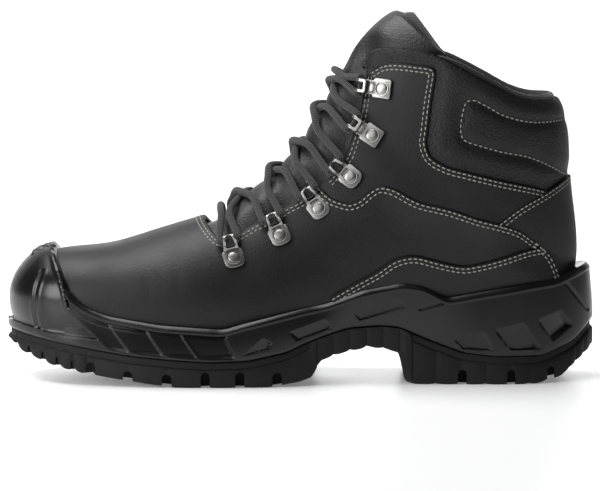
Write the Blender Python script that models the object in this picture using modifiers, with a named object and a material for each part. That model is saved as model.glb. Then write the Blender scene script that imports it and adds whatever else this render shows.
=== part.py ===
"""Lace-up safety boot for the left foot, size 42, standing empty on its sole.

The toe points to -X and the outer (lateral) side of the foot faces -Y. The upper is lofted through
sections that fan from upright at the toe to level at the collar. Each section runs from the ridge, at
the top or front, round either side of the foot to its end, at the sole or the back of the heel.
"""

import math

import bmesh
import bpy
import numpy as np
from mathutils import Matrix, Vector

MM = 0.001

# Driving sizes in millimetres
LENGTH = 305.0
TOE_SWING = 8.0
SEAM_GAP = 0.3
UPPER_WALL = 2.2
PANEL = 1.2
CAP_WALL = 3.0
INSOLE = 4.5
TONGUE_THICK = 5.0
TONGUE_TUCK = 9.0
TONGUE_CLEAR = 0.9
TONGUE_SWELL = 2.0
TONGUE_DIP = 1.8
LACE_DIAMETER = 4.4
PLATE_THICK = 1.2
BEYOND = 90.0
RIDGE = 1e-4

# The upper's sections, from the toe tip to the collar. Top is the ridge point and end the lower or
# back point, in the side view. Lateral and medial are the greatest half widths, the foot half widths
# are those at the end, widest is the share of the way to the end where the width is greatest, and
# crown and heel say how square the rounding is. Bow pushes a section's middle forwards, wave gives
# the collar its swell, and gap is half the throat opening. From the heel turn on, a section ends at the
# back of the heel, where its two sides meet.
SECTION_COLUMNS = (
    "top_x", "top_z", "end_x", "end_z", "lateral", "medial", "foot_lateral", "foot_medial",
    "centre", "widest", "crown", "heel", "bow", "wave", "gap",
)
HALF_WIDTHS = ("lateral", "medial", "foot_lateral", "foot_medial")
SECTIONS = (
    (-138.5, 60.5, -145.0, 27.0, 0.0, 0.0, 0.0, 0.0, 8.0, 0.60, 2.3, 2.0, 6.5, 0.0, 0.0),
    (-137.2, 61.6, -143.5, 26.6, 11.0, 10.0, 9.0, 8.0, 7.7, 0.60, 2.3, 2.0, 6.3, 0.0, 0.0),
    (-133.4, 63.9, -138.8, 25.6, 21.5, 19.5, 17.5, 16.0, 7.0, 0.60, 2.3, 2.0, 5.6, 0.0, 0.0),
    (-126.0, 65.8, -130.5, 24.3, 31.0, 28.0, 26.0, 23.5, 5.8, 0.60, 2.3, 2.0, 4.3, 0.0, 0.0),
    (-114.0, 67.4, -117.0, 22.4, 38.3, 35.2, 32.5, 30.0, 4.2, 0.61, 2.3, 2.0, 2.4, 0.0, 0.0),
    (-97.0, 69.6, -98.0, 20.4, 43.8, 42.0, 37.5, 36.5, 2.4, 0.62, 2.25, 2.0, 0.8, 0.0, 0.0),
    (-78.0, 75.4, -77.0, 18.7, 47.6, 46.6, 41.0, 40.5, 1.0, 0.64, 2.15, 2.0, 0.0, 0.0, 0.0),
    (-60.0, 81.0, -55.0, 18.0, 49.4, 47.0, 42.5, 40.5, 0.3, 0.66, 2.05, 2.0, 0.0, 0.0, 24.0),
    (-43.5, 86.4, -30.0, 19.0, 48.4, 43.6, 41.5, 36.0, 0.0, 0.67, 1.95, 2.0, 0.0, 0.0, 26.0),
    (-28.5, 94.0, -4.0, 22.3, 44.8, 39.5, 37.5, 30.5, 0.0, 0.66, 1.88, 2.0, 0.0, 0.0, 28.0),
    (-13.5, 105.4, 24.0, 29.2, 41.0, 37.2, 32.5, 27.0, 0.0, 0.64, 1.86, 2.0, 0.0, 0.0, 27.5),
    (-0.5, 119.6, 56.0, 35.2, 38.6, 37.0, 29.0, 27.0, 0.0, 0.60, 1.90, 2.0, 0.0, 0.0, 28.5),
    (9.0, 135.0, 89.0, 37.4, 38.2, 37.8, 29.5, 28.5, 0.0, 0.55, 1.95, 2.05, 0.0, 0.0, 28.0),
    (14.5, 144.5, 116.0, 39.0, 38.4, 38.2, 26.5, 26.0, 0.0, 0.52, 2.0, 1.9, 0.0, 0.5, 25.5),
    (18.0, 150.5, 134.0, 43.5, 38.4, 38.4, 18.0, 18.0, 0.0, 0.51, 2.0, 1.85, 0.0, 1.0, 23.5),
    (20.8, 155.5, 141.6, 57.0, 38.4, 38.4, 0.0, 0.0, 0.0, 0.50, 2.0, 1.85, 0.0, 1.8, 22.0),
    (23.0, 159.6, 142.2, 75.0, 38.3, 38.3, 0.0, 0.0, 0.0, 0.50, 2.0, 1.88, 0.0, 2.6, 21.0),
    (25.0, 163.3, 140.2, 93.0, 38.2, 38.2, 0.0, 0.0, 0.0, 0.50, 2.0, 1.92, 0.0, 3.4, 20.0),
    (27.0, 167.0, 138.4, 112.0, 38.4, 38.4, 0.0, 0.0, 0.0, 0.50, 2.0, 1.98, 0.0, 4.2, 19.0),
    (29.0, 171.0, 137.2, 131.0, 39.0, 39.0, 0.0, 0.0, 0.0, 0.50, 2.0, 2.05, 0.0, 5.0, 18.0),
    (31.0, 175.0, 132.5, 147.0, 39.6, 39.6, 0.0, 0.0, 0.0, 0.50, 2.0, 2.1, 0.0, 5.6, 17.0),
)
COLLAR = len(SECTIONS) - 1.0
HEEL_TURN = 14.98
THROAT = 7.6
THROAT_ROUND = 0.6
FOREFOOT_STEPS = (0, 0.6, 1.2, 1.8, 2.4, 3, 3.6, 4.3, 5, 5.7, 6.4, 7.1)
THROAT_STEPS = (7.6, 7.75, 7.95, 8.2, 8.7, 9.4, 10.1, 10.8, 11.5, 12.2)
HEEL_STEPS = (12.8, 13.4, 13.9, 14.4, 15, 15.8, 16.8, 17.8, 18.8, 19.5, 20)
ROWS = FOREFOOT_STEPS + THROAT_STEPS + HEEL_STEPS
THROAT_ROW = ROWS.index(THROAT)
HEEL_ROW = ROWS.index(15)
ROUND_STEPS = 9

# The sole's outline, seen from above: distance of each edge from the centre line
OUTLINE_COLUMNS = ("x", "centre", "lateral", "medial")
OUTLINE = (
    (-149.0, 7.8, 6.5, 20.5),
    (-127.0, 5.5, 33.5, 39.5),
    (-106.0, 3.5, 43.5, 46.5),
    (-87.0, 2.0, 49.0, 50.0),
    (-67.0, 0.8, 52.5, 51.5),
    (-47.0, 0.0, 54.0, 50.0),
    (-27.0, 0.0, 53.0, 46.0),
    (-7.0, 0.0, 49.0, 41.0),
    (14.0, 0.0, 43.4, 38.0),
    (34.0, 0.0, 39.6, 36.2),
    (51.0, 0.0, 38.4, 36.2),
    (67.0, 0.0, 38.6, 37.0),
    (84.0, 0.0, 39.2, 38.0),
    (100.0, 0.0, 39.6, 38.8),
    (117.0, 0.0, 37.4, 37.0),
    (149.0, 0.0, 13.0, 13.0),
)
# Heights along the sole, each a short line of x and z
TREAD = (
    (-152.5, 20.0), (-144, 14), (-129, 9.4), (-113, 6.2), (-96, 4), (-77, 1.5), (-64, 0), (-16, 0),
    (0, 2.4), (6, 4.5), (11, 13), (22, 16.5), (36, 19.3), (46, 17.7), (54, 15.0), (57.5, 0.0),
    (122, 0.0), (135, 3), (143, 9.5), (152.5, 17),
)
JOINT = (
    (-152.5, 25.5), (-143, 24), (-127, 21.6), (-106, 18.2), (-87, 15.6), (-67, 14), (-47, 12.9),
    (-27, 13.6), (-7, 17.5), (3, 22), (14, 26), (25, 29.2), (42, 30.2), (51, 29.3), (67, 22.6),
    (84, 16.4), (100, 14.6), (125, 14.6), (142, 21), (152.5, 31),
)
RIM = (
    (-152.5, 47), (-123, 47), (-114, 39.4), (-100.5, 34), (-73, 30), (-40, 28.2), (-29, 31.5),
    (0, 38.7), (14, 41.7), (32, 48.6), (52, 52.3), (62, 51), (75, 44.3), (92, 47), (122, 51.8),
    (134, 53), (152.5, 60),
)
RIM_EASE = 3.0
RIM_INSET = (
    (-152.5, 0.8), (-100, 1.0), (8, 1.0), (30, -2.2), (72, -1.6), (95, 1.1), (110, 1.2), (130, 2.6),
    (152.5, 6.5),
)
STATION_ANGLES = 27
STATION_EXTRAS = (5.0, 10.5, 55.0, 58.0, 69.0, 74.0, 79.0)
# Levels of the foxing wall, from the bottom, and of the bead along its top: share of the height, inset
WALL_LEVELS = ((0.0, 0.8), (0.45, -0.2))
BEAD_LEVELS = ((0.0, 0.9), (0.4, 0.0), (1.0, 1.2))
BEAD_DROP = 3.4
BEAD_SHARE = 0.38
# Levels of the outsole, from the bottom: inset, share of the height, and a step from there
OUTSOLE_LEVELS = ((2.2, 0.0, 0.0), (1.2, 0.0, 1.0), (0.0, 1.0, -1.2), (0.6, 1.0, 0.0))
OUTSOLE_LEAST = 3.0
TREAD_EASE = 0.8

# The toe cap's joint with the foxing wall and the sole, in the side view
CAP_LINE = ((-129.5, 82), (-128, 70), (-123, 49), (-119.3, 37), (-111, 29.6), (-102, 22))
CAP_FLOOR = ((-127, 26), (-160, 31.5))
CAP_FLARE = 2.4
CAP_FLARE_SHARE = 0.25

# Seams of the upper's panels, in the side view
CUFF_SEAM = (
    (38, 159), (48, 163), (68, 160.8), (66, 146.5), (63.3, 123.7), (66, 116), (74, 111), (104, 103),
    (126.4, 98.5),
)
BACK_SEAM = ((138.3, 105.6), (160, 117))
COUNTER_SEAM = ((138.3, 105.6), (126.4, 98.5), (101, 84.6))
LOW_SEAM = ((103, 80.5), (112, 77), (120, 71), (125.6, 65), (130.5, 55.5))
QUARTER_SEAM = ((6.5, 103), (15, 94.5), (26, 91.4), (41, 101), (60, 93), (76, 89), (101, 82.5))
GUARD_SEAM = (
    (25, 48.6), (40, 57), (48, 62.4), (54, 64.4), (60, 64.7), (68, 62.7), (84, 59.5), (92, 60.6), (116, 67),
    (121, 67.6),
)
GUARD_FOOT = (127, 110, 96, 87, 79, 75, 70, 64, 56, 46, 36, 27)
GUARD_CLEAR = 1.0

# Moulded windows in the foxing wall, in the side view: the lower edge is the deep one
WINDOWS = (
    ((-28, 17), (-16.5, 19.5), (-15, 22), (-19, 25)),
    ((-5, 28), (-1, 24), (15.5, 29.5), (12.5, 34)),
    ((27, 37.5), (31, 33.5), (53, 40), (50, 44)),
    ((79, 23.5), (84, 18.5), (99, 18), (94, 27)),
    ((100.5, 28), (108.5, 18), (123, 18), (115, 31)),
    ((123, 32.5), (130.5, 22.5), (140, 29), (134.4, 36.5)),
)
WINDOW_LIP = 0.1
WINDOW_DEPTH = 2.2
# Fine slanting grooves in the foxing wall, each from top to bottom in the side view
GROOVES = (
    ((-100, 36), (-89, 19)), ((-81, 33), (-71, 17)), ((-63, 31), (-53, 15)), ((-39, 30), (-33, 15)),
)
GROOVE_WIDTH = 1.3
GROOVE_DEPTH = 1.0

# Slots between the outsole's lugs, cut from both edges: place along the foot, width, top and reach
SLOT_COLUMNS = ("x", "width", "top", "reach")
SLOTS = (
    (-140.3, 1.8, 18.5, 30.0),
    (-132.7, 1.8, 17.0, 30.0),
    (-125.0, 1.8, 15.0, 30.0),
    (-117.0, 1.8, 13.0, 30.0),
    (-107.2, 3.8, 11.5, 34.0),
    (-88.0, 4.4, 8.0, 26.0),
    (-68.0, 4.4, 6.8, 26.0),
    (-48.3, 4.6, 8.4, 26.0),
    (-30.7, 4.6, 8.4, 26.0),
    (-11.7, 4.4, 6.8, 26.0),
    (68.2, 1.6, 9.0, 18.0),
    (83.2, 4.6, 10.0, 24.0),
    (95.4, 1.6, 9.0, 18.0),
    (108.3, 4.0, 10.0, 24.0),
    (118.5, 1.6, 9.0, 18.0),
    (129.0, 3.6, 10.0, 24.0),
)
SLOT_SHARE = 0.72
SLOT_BELOW = -5.0
# Cross channels in the middle of the tread
CHANNELS = (-98.0, -78.0, -58.0, -39.5, -21.0, 75.5, 102.0)
CHANNEL_WIDTH = 4.0
CHANNEL_DEPTH = 3.0
CHANNEL_HALF = 20.0

# Lace hardware on each side, from the lowest up: rivet and lace end in the side view, and the height
# of the panels that it sits on
HARDWARE_COLUMNS = ("rivet_x", "rivet_z", "end_x", "end_z", "lift")
RINGS = (
    (-33.8, 65.0, -38.3, 76.7, 0.0),
    (-10.2, 76.2, -15.9, 87.5, 0.0),
    (9.7, 90.0, 1.5, 101.0, 0.0),
    (26.4, 106.0, 14.5, 114.4, 1.6),
)
HOOKS = ((37.5, 127.0, 25.0, 134.6, 1.6), (43.0, 151.0, 30.0, 152.3, 1.6))
RING_OUTER = (
    (-5.0, -2.6), (-3.4, -5.0), (3.6, -5.4), (4.4, -4.0), (12.2, -2.5), (13.3, -1.2),
    (13.3, 1.2), (12.2, 2.5), (4.4, 4.0), (3.6, 5.4), (-3.4, 5.0), (-5.0, 2.6),
)
RING_WINDOW = ((5.8, -2.5), (11.4, -1.3), (11.4, 1.3), (5.8, 2.5))
HOOK_PROFILE = (
    (-5.0, 0.0), (8.4, 0.0), (10.2, 1.0), (10.8, 2.8), (10.2, 4.6), (8.6, 5.5), (1.6, 5.2),
    (1.6, 4.1), (8.2, 4.3), (9.3, 3.7), (9.6, 2.8), (9.2, 1.9), (8.0, 1.2), (-5.0, 1.2),
)
HOOK_WIDTH = 9.0
RIVET_RADIUS = 3.0
RIVET_HEIGHT = 1.5
RIVET_SIDES = 8
RIVET_TOP = 0.55
LOCATE_FROM = 5.0
LOCATE_STEPS = (301, 151)
LACE_LIFT = 4.2
LACE_SINK = 2.3
LACE_SINK_REACH = 12.0
LACE_STOP = 2.0
LACE_POINTS = 5

TONGUE_STEPS = (7.1, 7.6, 7.95, 8.7, 9.4, 10.1, 10.8, 11.5, 12.2, 12.8, 13.9, 15, 16.8, 18.8, 20)
# The tongue above the collar: front point, the way its sides fall back in degrees below level, and
# half width
TONGUE_TOP = (
    (36.5, 181.0, 22.0, 30.0),
    (42.5, 186.3, 30.0, 33.0),
    (48.5, 189.8, 37.0, 31.0),
    (54.0, 191.2, 42.0, 26.0),
)
TONGUE_TOP_LEAN = (0.6, 0.4, 0.5)
TONGUE_HALF = 34.0
TONGUE_FOOT = 27.2
SWELL_START = 0.4
SWELL_MARGIN = 2.0
SWELL_REACH = 8.0
DIP_END = 1.1
DIP_RUN = 0.5
SHAFT_HALF = 40.0
TONGUE_ACROSS = 8

INSOLE_STEPS = (0.8, 1.5, 2.2, 3, 4, 5, 6, 7, 8, 9, 10, 11, 12, 13, 13.5, 13.9, 14.2, 14.4)
INSOLE_MARGIN = 3.4
INSOLE_TOE = 3.0
INSOLE_HEEL = 13.0
INSOLE_HEEL_RUN = 1.4
INSOLE_LEAST = 1.0

COLOURS = {
    "leather": ((0.020, 0.020, 0.022), 0.45, 0.0),
    "soft leather": ((0.018, 0.018, 0.019), 0.6, 0.0),
    "textile": ((0.03, 0.03, 0.03), 0.9, 0.0),
    "moulded foam": ((0.013, 0.013, 0.014), 0.5, 0.0),
    "cap": ((0.012, 0.012, 0.014), 0.3, 0.0),
    "rubber": ((0.016, 0.016, 0.016), 0.7, 0.0),
    "cord": ((0.035, 0.035, 0.037), 0.85, 0.0),
    "nickel": ((0.35, 0.35, 0.34), 0.3, 1.0),
}


def clear_scene():
    """Removes what the scene holds."""
    for obj in list(bpy.data.objects):
        bpy.data.objects.remove(obj)


def collection(name):
    """A new collection in the scene."""
    made = bpy.data.collections.new(name)
    bpy.context.scene.collection.children.link(made)
    return made


def material(name):
    """The named Principled material, made once."""
    found = bpy.data.materials.get(name)
    if found:
        return found
    colour, rough, metal = COLOURS[name]
    made = bpy.data.materials.new(name)
    made.use_nodes = True
    shader = made.node_tree.nodes["Principled BSDF"]
    shader.inputs["Base Color"].default_value = (*colour, 1.0)
    shader.inputs["Roughness"].default_value = rough
    shader.inputs["Metallic"].default_value = metal
    return made


def mesh_of(name, points, faces):
    """A welded mesh, in metres, of points in millimetres, with its faces turned out."""
    mesh = bpy.data.meshes.new(name)
    mesh.from_pydata([tuple(p) for p in np.asarray(points) * MM], [], faces)
    work = bmesh.new()
    work.from_mesh(mesh)
    bmesh.ops.remove_doubles(work, verts=work.verts, dist=1e-6)
    bmesh.ops.dissolve_degenerate(work, edges=work.edges, dist=1e-7)
    bmesh.ops.recalc_face_normals(work, faces=work.faces)
    work.to_mesh(mesh)
    work.free()
    mesh.shade_smooth()
    return mesh


def part(name, mesh, finish):
    """A sub-part of the boot."""
    obj = bpy.data.objects.new(name, mesh)
    mesh.materials.append(material(finish))
    PARTS.objects.link(obj)
    return obj


def cutter(name, mesh):
    """A helper solid that only shapes others."""
    obj = bpy.data.objects.new(name, mesh)
    obj.hide_render = True
    obj.display_type = "WIRE"
    CUTTERS.objects.link(obj)
    return obj


def boolean(obj, operation, other):
    """Cuts, keeps or joins another solid."""
    modifier = obj.modifiers.new(f"{operation} {other.name}", "BOOLEAN")
    modifier.operation = operation
    modifier.object = other


def spline(knots, values, at):
    """Smooth curve through the values at the knots, read at the given places."""
    knots = np.asarray(knots, float)
    values = np.asarray(values, float)
    at = np.asarray(at, float)
    step = np.diff(knots)
    matrix = np.eye(len(knots))
    turn = np.zeros(len(knots))
    for i in range(1, len(knots) - 1):
        matrix[i, i - 1 : i + 2] = step[i - 1] / 6, (step[i - 1] + step[i]) / 3, step[i] / 6
        turn[i] = (values[i + 1] - values[i]) / step[i] - (values[i] - values[i - 1]) / step[i - 1]
    bend = np.linalg.solve(matrix, turn)
    i = np.clip(np.searchsorted(knots, at) - 1, 0, len(knots) - 2)
    a = (knots[i + 1] - at) / step[i]
    b = 1 - a
    curve = (a**3 - a) * bend[i] + (b**3 - b) * bend[i + 1]
    return a * values[i] + b * values[i + 1] + curve * step[i] ** 2 / 6


def line(table, x, ease=2.5):
    """Height of a short line at x, with its corners eased."""
    xs, zs = np.array(table, float).T
    near = np.linspace(-ease, ease, 5)
    return np.interp(np.asarray(x, float)[..., None] + near, xs, zs).mean(axis=-1)


def columns(table, names):
    """A table's columns by name."""
    return dict(zip(names, np.array(table, float).T))


def section(u):
    """The columns of the section at u. The toe rows are mirrored past the tip, which makes it round."""
    table = columns(SECTIONS, SECTION_COLUMNS)
    knots = np.arange(-2, len(SECTIONS))
    found = {}
    for name, values in table.items():
        mirrored = values[2:0:-1] * (-1 if name in HALF_WIDTHS else 1)
        found[name] = spline(knots, np.concatenate((mirrored, values)), u)
    for name in ("foot_lateral", "foot_medial"):
        found[name] = np.where(u > HEEL_TURN, 0.0, np.maximum(found[name], 0.0))
    start = np.clip((u - THROAT) / THROAT_ROUND, 0, 1)
    found["gap"] = np.interp(u, np.arange(len(SECTIONS)), table["gap"]) * np.sqrt(1 - (1 - start) ** 2)
    return found


def form(u, t, side):
    """Point of the upper's outer form: u along the sections, t from the ridge to the end.

    The side is -1 for lateral and 1 for medial.
    """
    s = section(u)
    wide = np.where(side < 0, s["lateral"], s["medial"])
    foot = np.where(side < 0, s["foot_lateral"], s["foot_medial"])
    a = np.clip(t / 0.5, 0, 1) * math.pi / 2
    b = np.clip((t - 0.5) / 0.5, 0, 1) * math.pi / 2
    upper = t < 0.5
    power = np.where(upper, 2 / s["crown"], 2 / s["heel"])
    rise = np.where(upper, 1 - np.abs(np.cos(a)) ** power, np.sin(b) ** power)
    share = np.where(upper, s["widest"] * rise, s["widest"] + (1 - s["widest"]) * rise)
    spread = np.where(upper, wide * np.sin(a) ** power, foot + (wide - foot) * np.abs(np.cos(b)) ** power)
    dx = s["end_x"] - s["top_x"]
    dz = s["end_z"] - s["top_z"]
    push = s["bow"] * 4 * share * (1 - share) - s["wave"] * np.sin(2 * math.pi * share)
    push = push / np.hypot(dx, dz)
    x = s["top_x"] + dx * share + dz * push
    z = s["top_z"] + dz * share - dx * push
    return np.stack((x, s["centre"] + side * spread, z), axis=-1)


def turn_at(u, half_width, side):
    """The t at which the form's upper half is that far from the centre line."""
    s = section(u)
    wide = np.maximum(np.where(side < 0, s["lateral"], s["medial"]), 1e-6)
    ratio = np.clip(half_width / wide, 0, 1)
    return np.arcsin(ratio ** (s["crown"] / 2)) / math.pi


def form_normal(u, t, side):
    """Outward direction of the form."""
    d = 1e-3
    along = form(u + d, t, side) - form(u - d, t, side)
    around = form(u, t + d, side) - form(u, t - d, side)
    normal = np.cross(along, around) * np.asarray(side)[..., None]
    return normal / np.linalg.norm(normal, axis=-1, keepdims=True)


def upper_grid():
    """Points of the upper's outer face by side, row along the foot, and step from the throat down."""
    u = np.array(ROWS, float)[:, None]
    share = np.linspace(0, 1, ROUND_STEPS)[None, :]
    sides = []
    for side in (-1.0, 1.0):
        start = turn_at(u, section(u)["gap"], side)
        sides.append(form(u + 0 * share, share + start * (1 - share) ** 3, side))
    return np.stack(sides)


def grid_faces(rows, columns, first=0, flip=False):
    """Triangles of a grid of points, two to a cell, always cut the same way."""
    faces = []
    for i in range(rows - 1):
        for j in range(columns - 1):
            a = first + i * columns + j
            b = a + columns
            for face in ((a, a + 1, b + 1), (a, b + 1, b)):
                faces.append(face[::-1] if flip else face)
    return faces


def ladder_faces(left, right):
    """Quads between two runs of point numbers."""
    return [(left[i], left[i + 1], right[i + 1], right[i]) for i in range(len(left) - 1)]


def vertex_normals(points, faces):
    """Outward directions of a grid's points, the same at points that lie together."""
    keys = np.unique(np.round(points, 4), axis=0, return_inverse=True)[1].reshape(-1)
    total = np.zeros((keys.max() + 1, 3))
    for face in faces:
        corners = points[list(face)]
        normal = np.cross(corners[1] - corners[0], corners[2] - corners[0])
        for corner in face:
            total[keys[corner]] += normal
    total /= np.maximum(np.linalg.norm(total, axis=1, keepdims=True), 1e-9)
    return total[keys]


def grown_upper(grow):
    """The upper's outer face moved outwards, as points, faces and the size of its grid."""
    grid = upper_grid()
    rows, columns = grid.shape[1:3]
    points = grid.reshape(-1, 3)
    faces = grid_faces(rows, columns, 0) + grid_faces(rows, columns, rows * columns, flip=True)
    normals = vertex_normals(points, faces)
    amount = grow if np.isscalar(grow) else np.tile(grow, 2 * rows)
    return points + normals * np.reshape(amount, (-1, 1)), faces, rows, columns


def make_upper():
    """Hollow leather upper, open at the collar, the throat and underneath."""
    points, faces, _, _ = grown_upper(0.0)
    upper = part("upper", mesh_of("upper", points, faces), "leather")
    wall = upper.modifiers.new("wall", "SOLIDIFY")
    wall.thickness = UPPER_WALL * MM
    wall.offset = -1
    wall.use_even_offset = False
    return upper


def last_solid(name, grow):
    """Cutter of the whole upper with its openings closed."""
    points, faces, rows, columns = grown_upper(grow)
    index = np.arange(2 * rows * columns).reshape(2, rows, columns)
    points[index[:, :, -1].reshape(-1), 2] -= grow
    faces = faces + ladder_faces(index[0, :, 0], index[1, :, 0])
    faces += ladder_faces(index[0, :, -1], index[1, :, -1])
    faces += ladder_faces(index[0, -1, :], index[1, -1, :])
    return cutter(name, mesh_of(name, points, faces))


def prism(name, outline, low_y=-BEYOND, high_y=BEYOND):
    """Cutter of a side-view outline drawn across the boot."""
    count = len(outline)
    points = [(x, y, z) for y in (low_y, high_y) for x, z in outline]
    faces = [tuple(range(count)), tuple(range(count, 2 * count))]
    faces += [(i, (i + 1) % count, (i + 1) % count + count, i + count) for i in range(count)]
    return cutter(name, mesh_of(name, points, faces))


def panel(name, finish, wall, outline, low_y=-BEYOND, high_y=BEYOND, flare=0.0):
    """Panel over the upper, bounded by a side-view outline. It is even but for a flare at its foot."""
    foot = (np.linspace(0, 1, ROUND_STEPS) - 1) / CAP_FLARE_SHARE + 1
    out = SEAM_GAP + wall + flare * np.clip(foot, 0, 1)
    inner, faces, rows, columns = grown_upper(SEAM_GAP)
    outer = grown_upper(out)[0]
    index = np.arange(2 * rows * columns).reshape(2, rows, columns)
    count = len(inner)
    shell = faces + [tuple(i + count for i in reversed(face)) for face in faces]
    for half in index:
        for edge in (half[: HEEL_ROW + 1, -1], half[-1, :], half[THROAT_ROW:, 0]):
            shell += ladder_faces(edge, edge + count)
    obj = part(name, mesh_of(name, np.vstack((inner, outer)), shell), finish)
    boolean(obj, "INTERSECT", prism(f"{name} outline", outline, low_y, high_y))


def make_panels():
    """Toe cap, cuff, counter, and on each side the quarter with its eyestay and the guard above the sole."""
    cap = (*CAP_LINE, *CAP_FLOOR, (-160, 82))
    panel("toe_cap", "cap", CAP_WALL, inset(cap, SEAM_GAP), flare=CAP_FLARE)
    cuff = (*CUFF_SEAM, *BACK_SEAM, (160, 190), (20, 190), (20, 159))
    panel("collar_cuff", "soft leather", PANEL, inset(cuff, SEAM_GAP / 2))
    counter = (*COUNTER_SEAM, *LOW_SEAM, (160, 66.5), (160, 117))
    panel("heel_counter", "leather", PANEL, inset(counter, SEAM_GAP / 2))
    quarter = ((-20, 130), *QUARTER_SEAM, (101, 84.6), *CUFF_SEAM[::-1], (15, 159))
    panel("quarter_lateral", "leather", PANEL, inset(quarter, SEAM_GAP / 2), high_y=0.0)
    panel("quarter_medial", "leather", PANEL, inset(quarter, SEAM_GAP / 2), low_y=0.0)
    foot = [(x, float(line(RIM, x, RIM_EASE)) + GUARD_CLEAR) for x in GUARD_FOOT]
    panel("guard_lateral", "leather", PANEL, (*GUARD_SEAM, *foot), high_y=0.0)
    panel("guard_medial", "leather", PANEL, (*GUARD_SEAM, *foot), low_y=0.0)


def inset(outline, amount):
    """The outline moved inwards."""
    points = np.array(outline, float)
    before = points - np.roll(points, 1, axis=0)
    after = np.roll(points, -1, axis=0) - points
    area = (points[:, 0] * np.roll(points[:, 1], -1) - points[:, 1] * np.roll(points[:, 0], -1)).sum()
    normals = []
    for run in (before, after):
        run = run / np.linalg.norm(run, axis=1, keepdims=True)
        normals.append(np.stack((-run[:, 1], run[:, 0]), axis=1) * math.copysign(1, area))
    total = normals[0] + normals[1]
    reach = np.maximum((total * normals[0]).sum(axis=1, keepdims=True), 0.4)
    return [tuple(p) for p in points + total * amount / reach]


def outline_at(angle, side, inward):
    """Point of the sole's outline seen from above, moved inwards. The angle runs from toe to heel."""
    table = columns(OUTLINE, OUTLINE_COLUMNS)
    reach = np.sin(np.arccos(-table["x"] / (LENGTH / 2)))
    edge = table["lateral"] + table["centre"] if side < 0 else table["medial"] - table["centre"]
    x = -(LENGTH / 2) * np.cos(angle)
    held = np.clip(x, table["x"][0], table["x"][-1])
    full = spline(table["x"], edge / reach, held)
    centre = np.interp(x, (-LENGTH / 2, *table["x"]), (TOE_SWING, *table["centre"]))
    x = -(LENGTH / 2 - inward) * np.cos(angle)
    return x, centre + side * (full - inward) * np.sin(angle)


def stations():
    """Angles of the sole's stations, with extra ones where the tread steps."""
    extras = [math.acos(-x / (LENGTH / 2)) for x in STATION_EXTRAS]
    return np.sort(np.concatenate((np.linspace(0, math.pi, STATION_ANGLES), extras)))


def sole_block(name, levels):
    """Closed block of the sole's outline. Each level is an inset and a height by station."""
    angle = stations()
    sides = []
    for side in (-1, 1):
        rows = []
        for inward, height in levels:
            x, y = outline_at(angle, side, inward)
            rows.append(np.stack((x, y, height), axis=-1))
        sides.append(np.stack(rows, axis=1))
    points = np.stack(sides).reshape(-1, 3)
    count = len(levels)
    along = len(angle)
    index = np.arange(len(points)).reshape(2, along, count)
    faces = grid_faces(along, count, 0) + grid_faces(along, count, along * count, flip=True)
    faces += ladder_faces(index[0, :, 0], index[1, :, 0]) + ladder_faces(index[1, :, -1], index[0, :, -1])
    return mesh_of(name, points, faces)


def make_midsole():
    """Moulded cup under and round the upper, with the foxing wall, its bead, windows and grooves."""
    x = -(LENGTH / 2) * np.cos(stations())
    low = line(JOINT, x) + SEAM_GAP / 2
    rim = line(RIM, x, RIM_EASE)
    rim_in = line(RIM_INSET, x)
    bead = rim - np.minimum(BEAD_DROP, BEAD_SHARE * (rim - low))
    levels = [(inward + rim_in * share, low + share * (rim - low)) for share, inward in WALL_LEVELS]
    levels += [(inward + rim_in, bead + share * (rim - bead)) for share, inward in BEAD_LEVELS]
    midsole = part("midsole", sole_block("midsole", levels), "moulded foam")
    boolean(midsole, "DIFFERENCE", last_solid("last", SEAM_GAP))
    cap = (*CAP_LINE, *CAP_FLOOR, (-160, 82))
    boolean(midsole, "DIFFERENCE", prism("cap seat", cap))
    for side in (-1, 1):
        for number, window in enumerate(WINDOWS):
            depths = (WINDOW_LIP, WINDOW_DEPTH, WINDOW_DEPTH, WINDOW_LIP)
            boolean(midsole, "DIFFERENCE", wall_cutter(f"window {number} {side}", window, side, depths))
        for number, (top, bottom) in enumerate(GROOVES):
            half = GROOVE_WIDTH / 2
            strip = ((top[0] - half, top[1]), (bottom[0] - half, bottom[1]))
            strip += ((bottom[0] + half, bottom[1]), (top[0] + half, top[1]))
            depths = (GROOVE_DEPTH,) * len(strip)
            boolean(midsole, "DIFFERENCE", wall_cutter(f"groove {number} {side}", strip, side, depths))


def wall_cutter(name, outline, side, depths):
    """Cutter that sinks a side-view outline into the foxing wall, to its own depth at each corner."""
    points = []
    lean = WALL_LEVELS[-1][0]
    for (x, z), depth in zip(outline, depths):
        _, y = outline_at(math.acos(-x / (LENGTH / 2)), side, float(line(RIM_INSET, x)) * lean + depth)
        points.append((x, float(y), z))
    points += [(x, side * BEYOND, z) for x, z in outline]
    count = len(outline)
    faces = [tuple(range(count)), tuple(range(count, 2 * count))]
    faces += [(i, (i + 1) % count, (i + 1) % count + count, i + count) for i in range(count)]
    return cutter(name, mesh_of(name, points, faces))


def make_outsole():
    """Rubber outsole with toe lugs, forefoot blocks, waist and heel blocks."""
    x = -(LENGTH / 2) * np.cos(stations())
    top = line(JOINT, x) - SEAM_GAP / 2
    low = np.minimum(line(TREAD, x, TREAD_EASE), top - OUTSOLE_LEAST)
    levels = [(inward, low + share * (top - low) + step) for inward, share, step in OUTSOLE_LEVELS]
    outsole = part("outsole", sole_block("outsole", levels), "rubber")
    boolean(outsole, "DIFFERENCE", slot_cutter())


def add_box(work, low, high):
    """Adds a box, given by two corners in millimetres, to a mesh being built."""
    low = Vector(low) * MM
    high = Vector(high) * MM
    size = Matrix.Diagonal(high - low).to_4x4()
    bmesh.ops.create_cube(work, size=1.0, matrix=Matrix.Translation((low + high) / 2) @ size)


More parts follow.
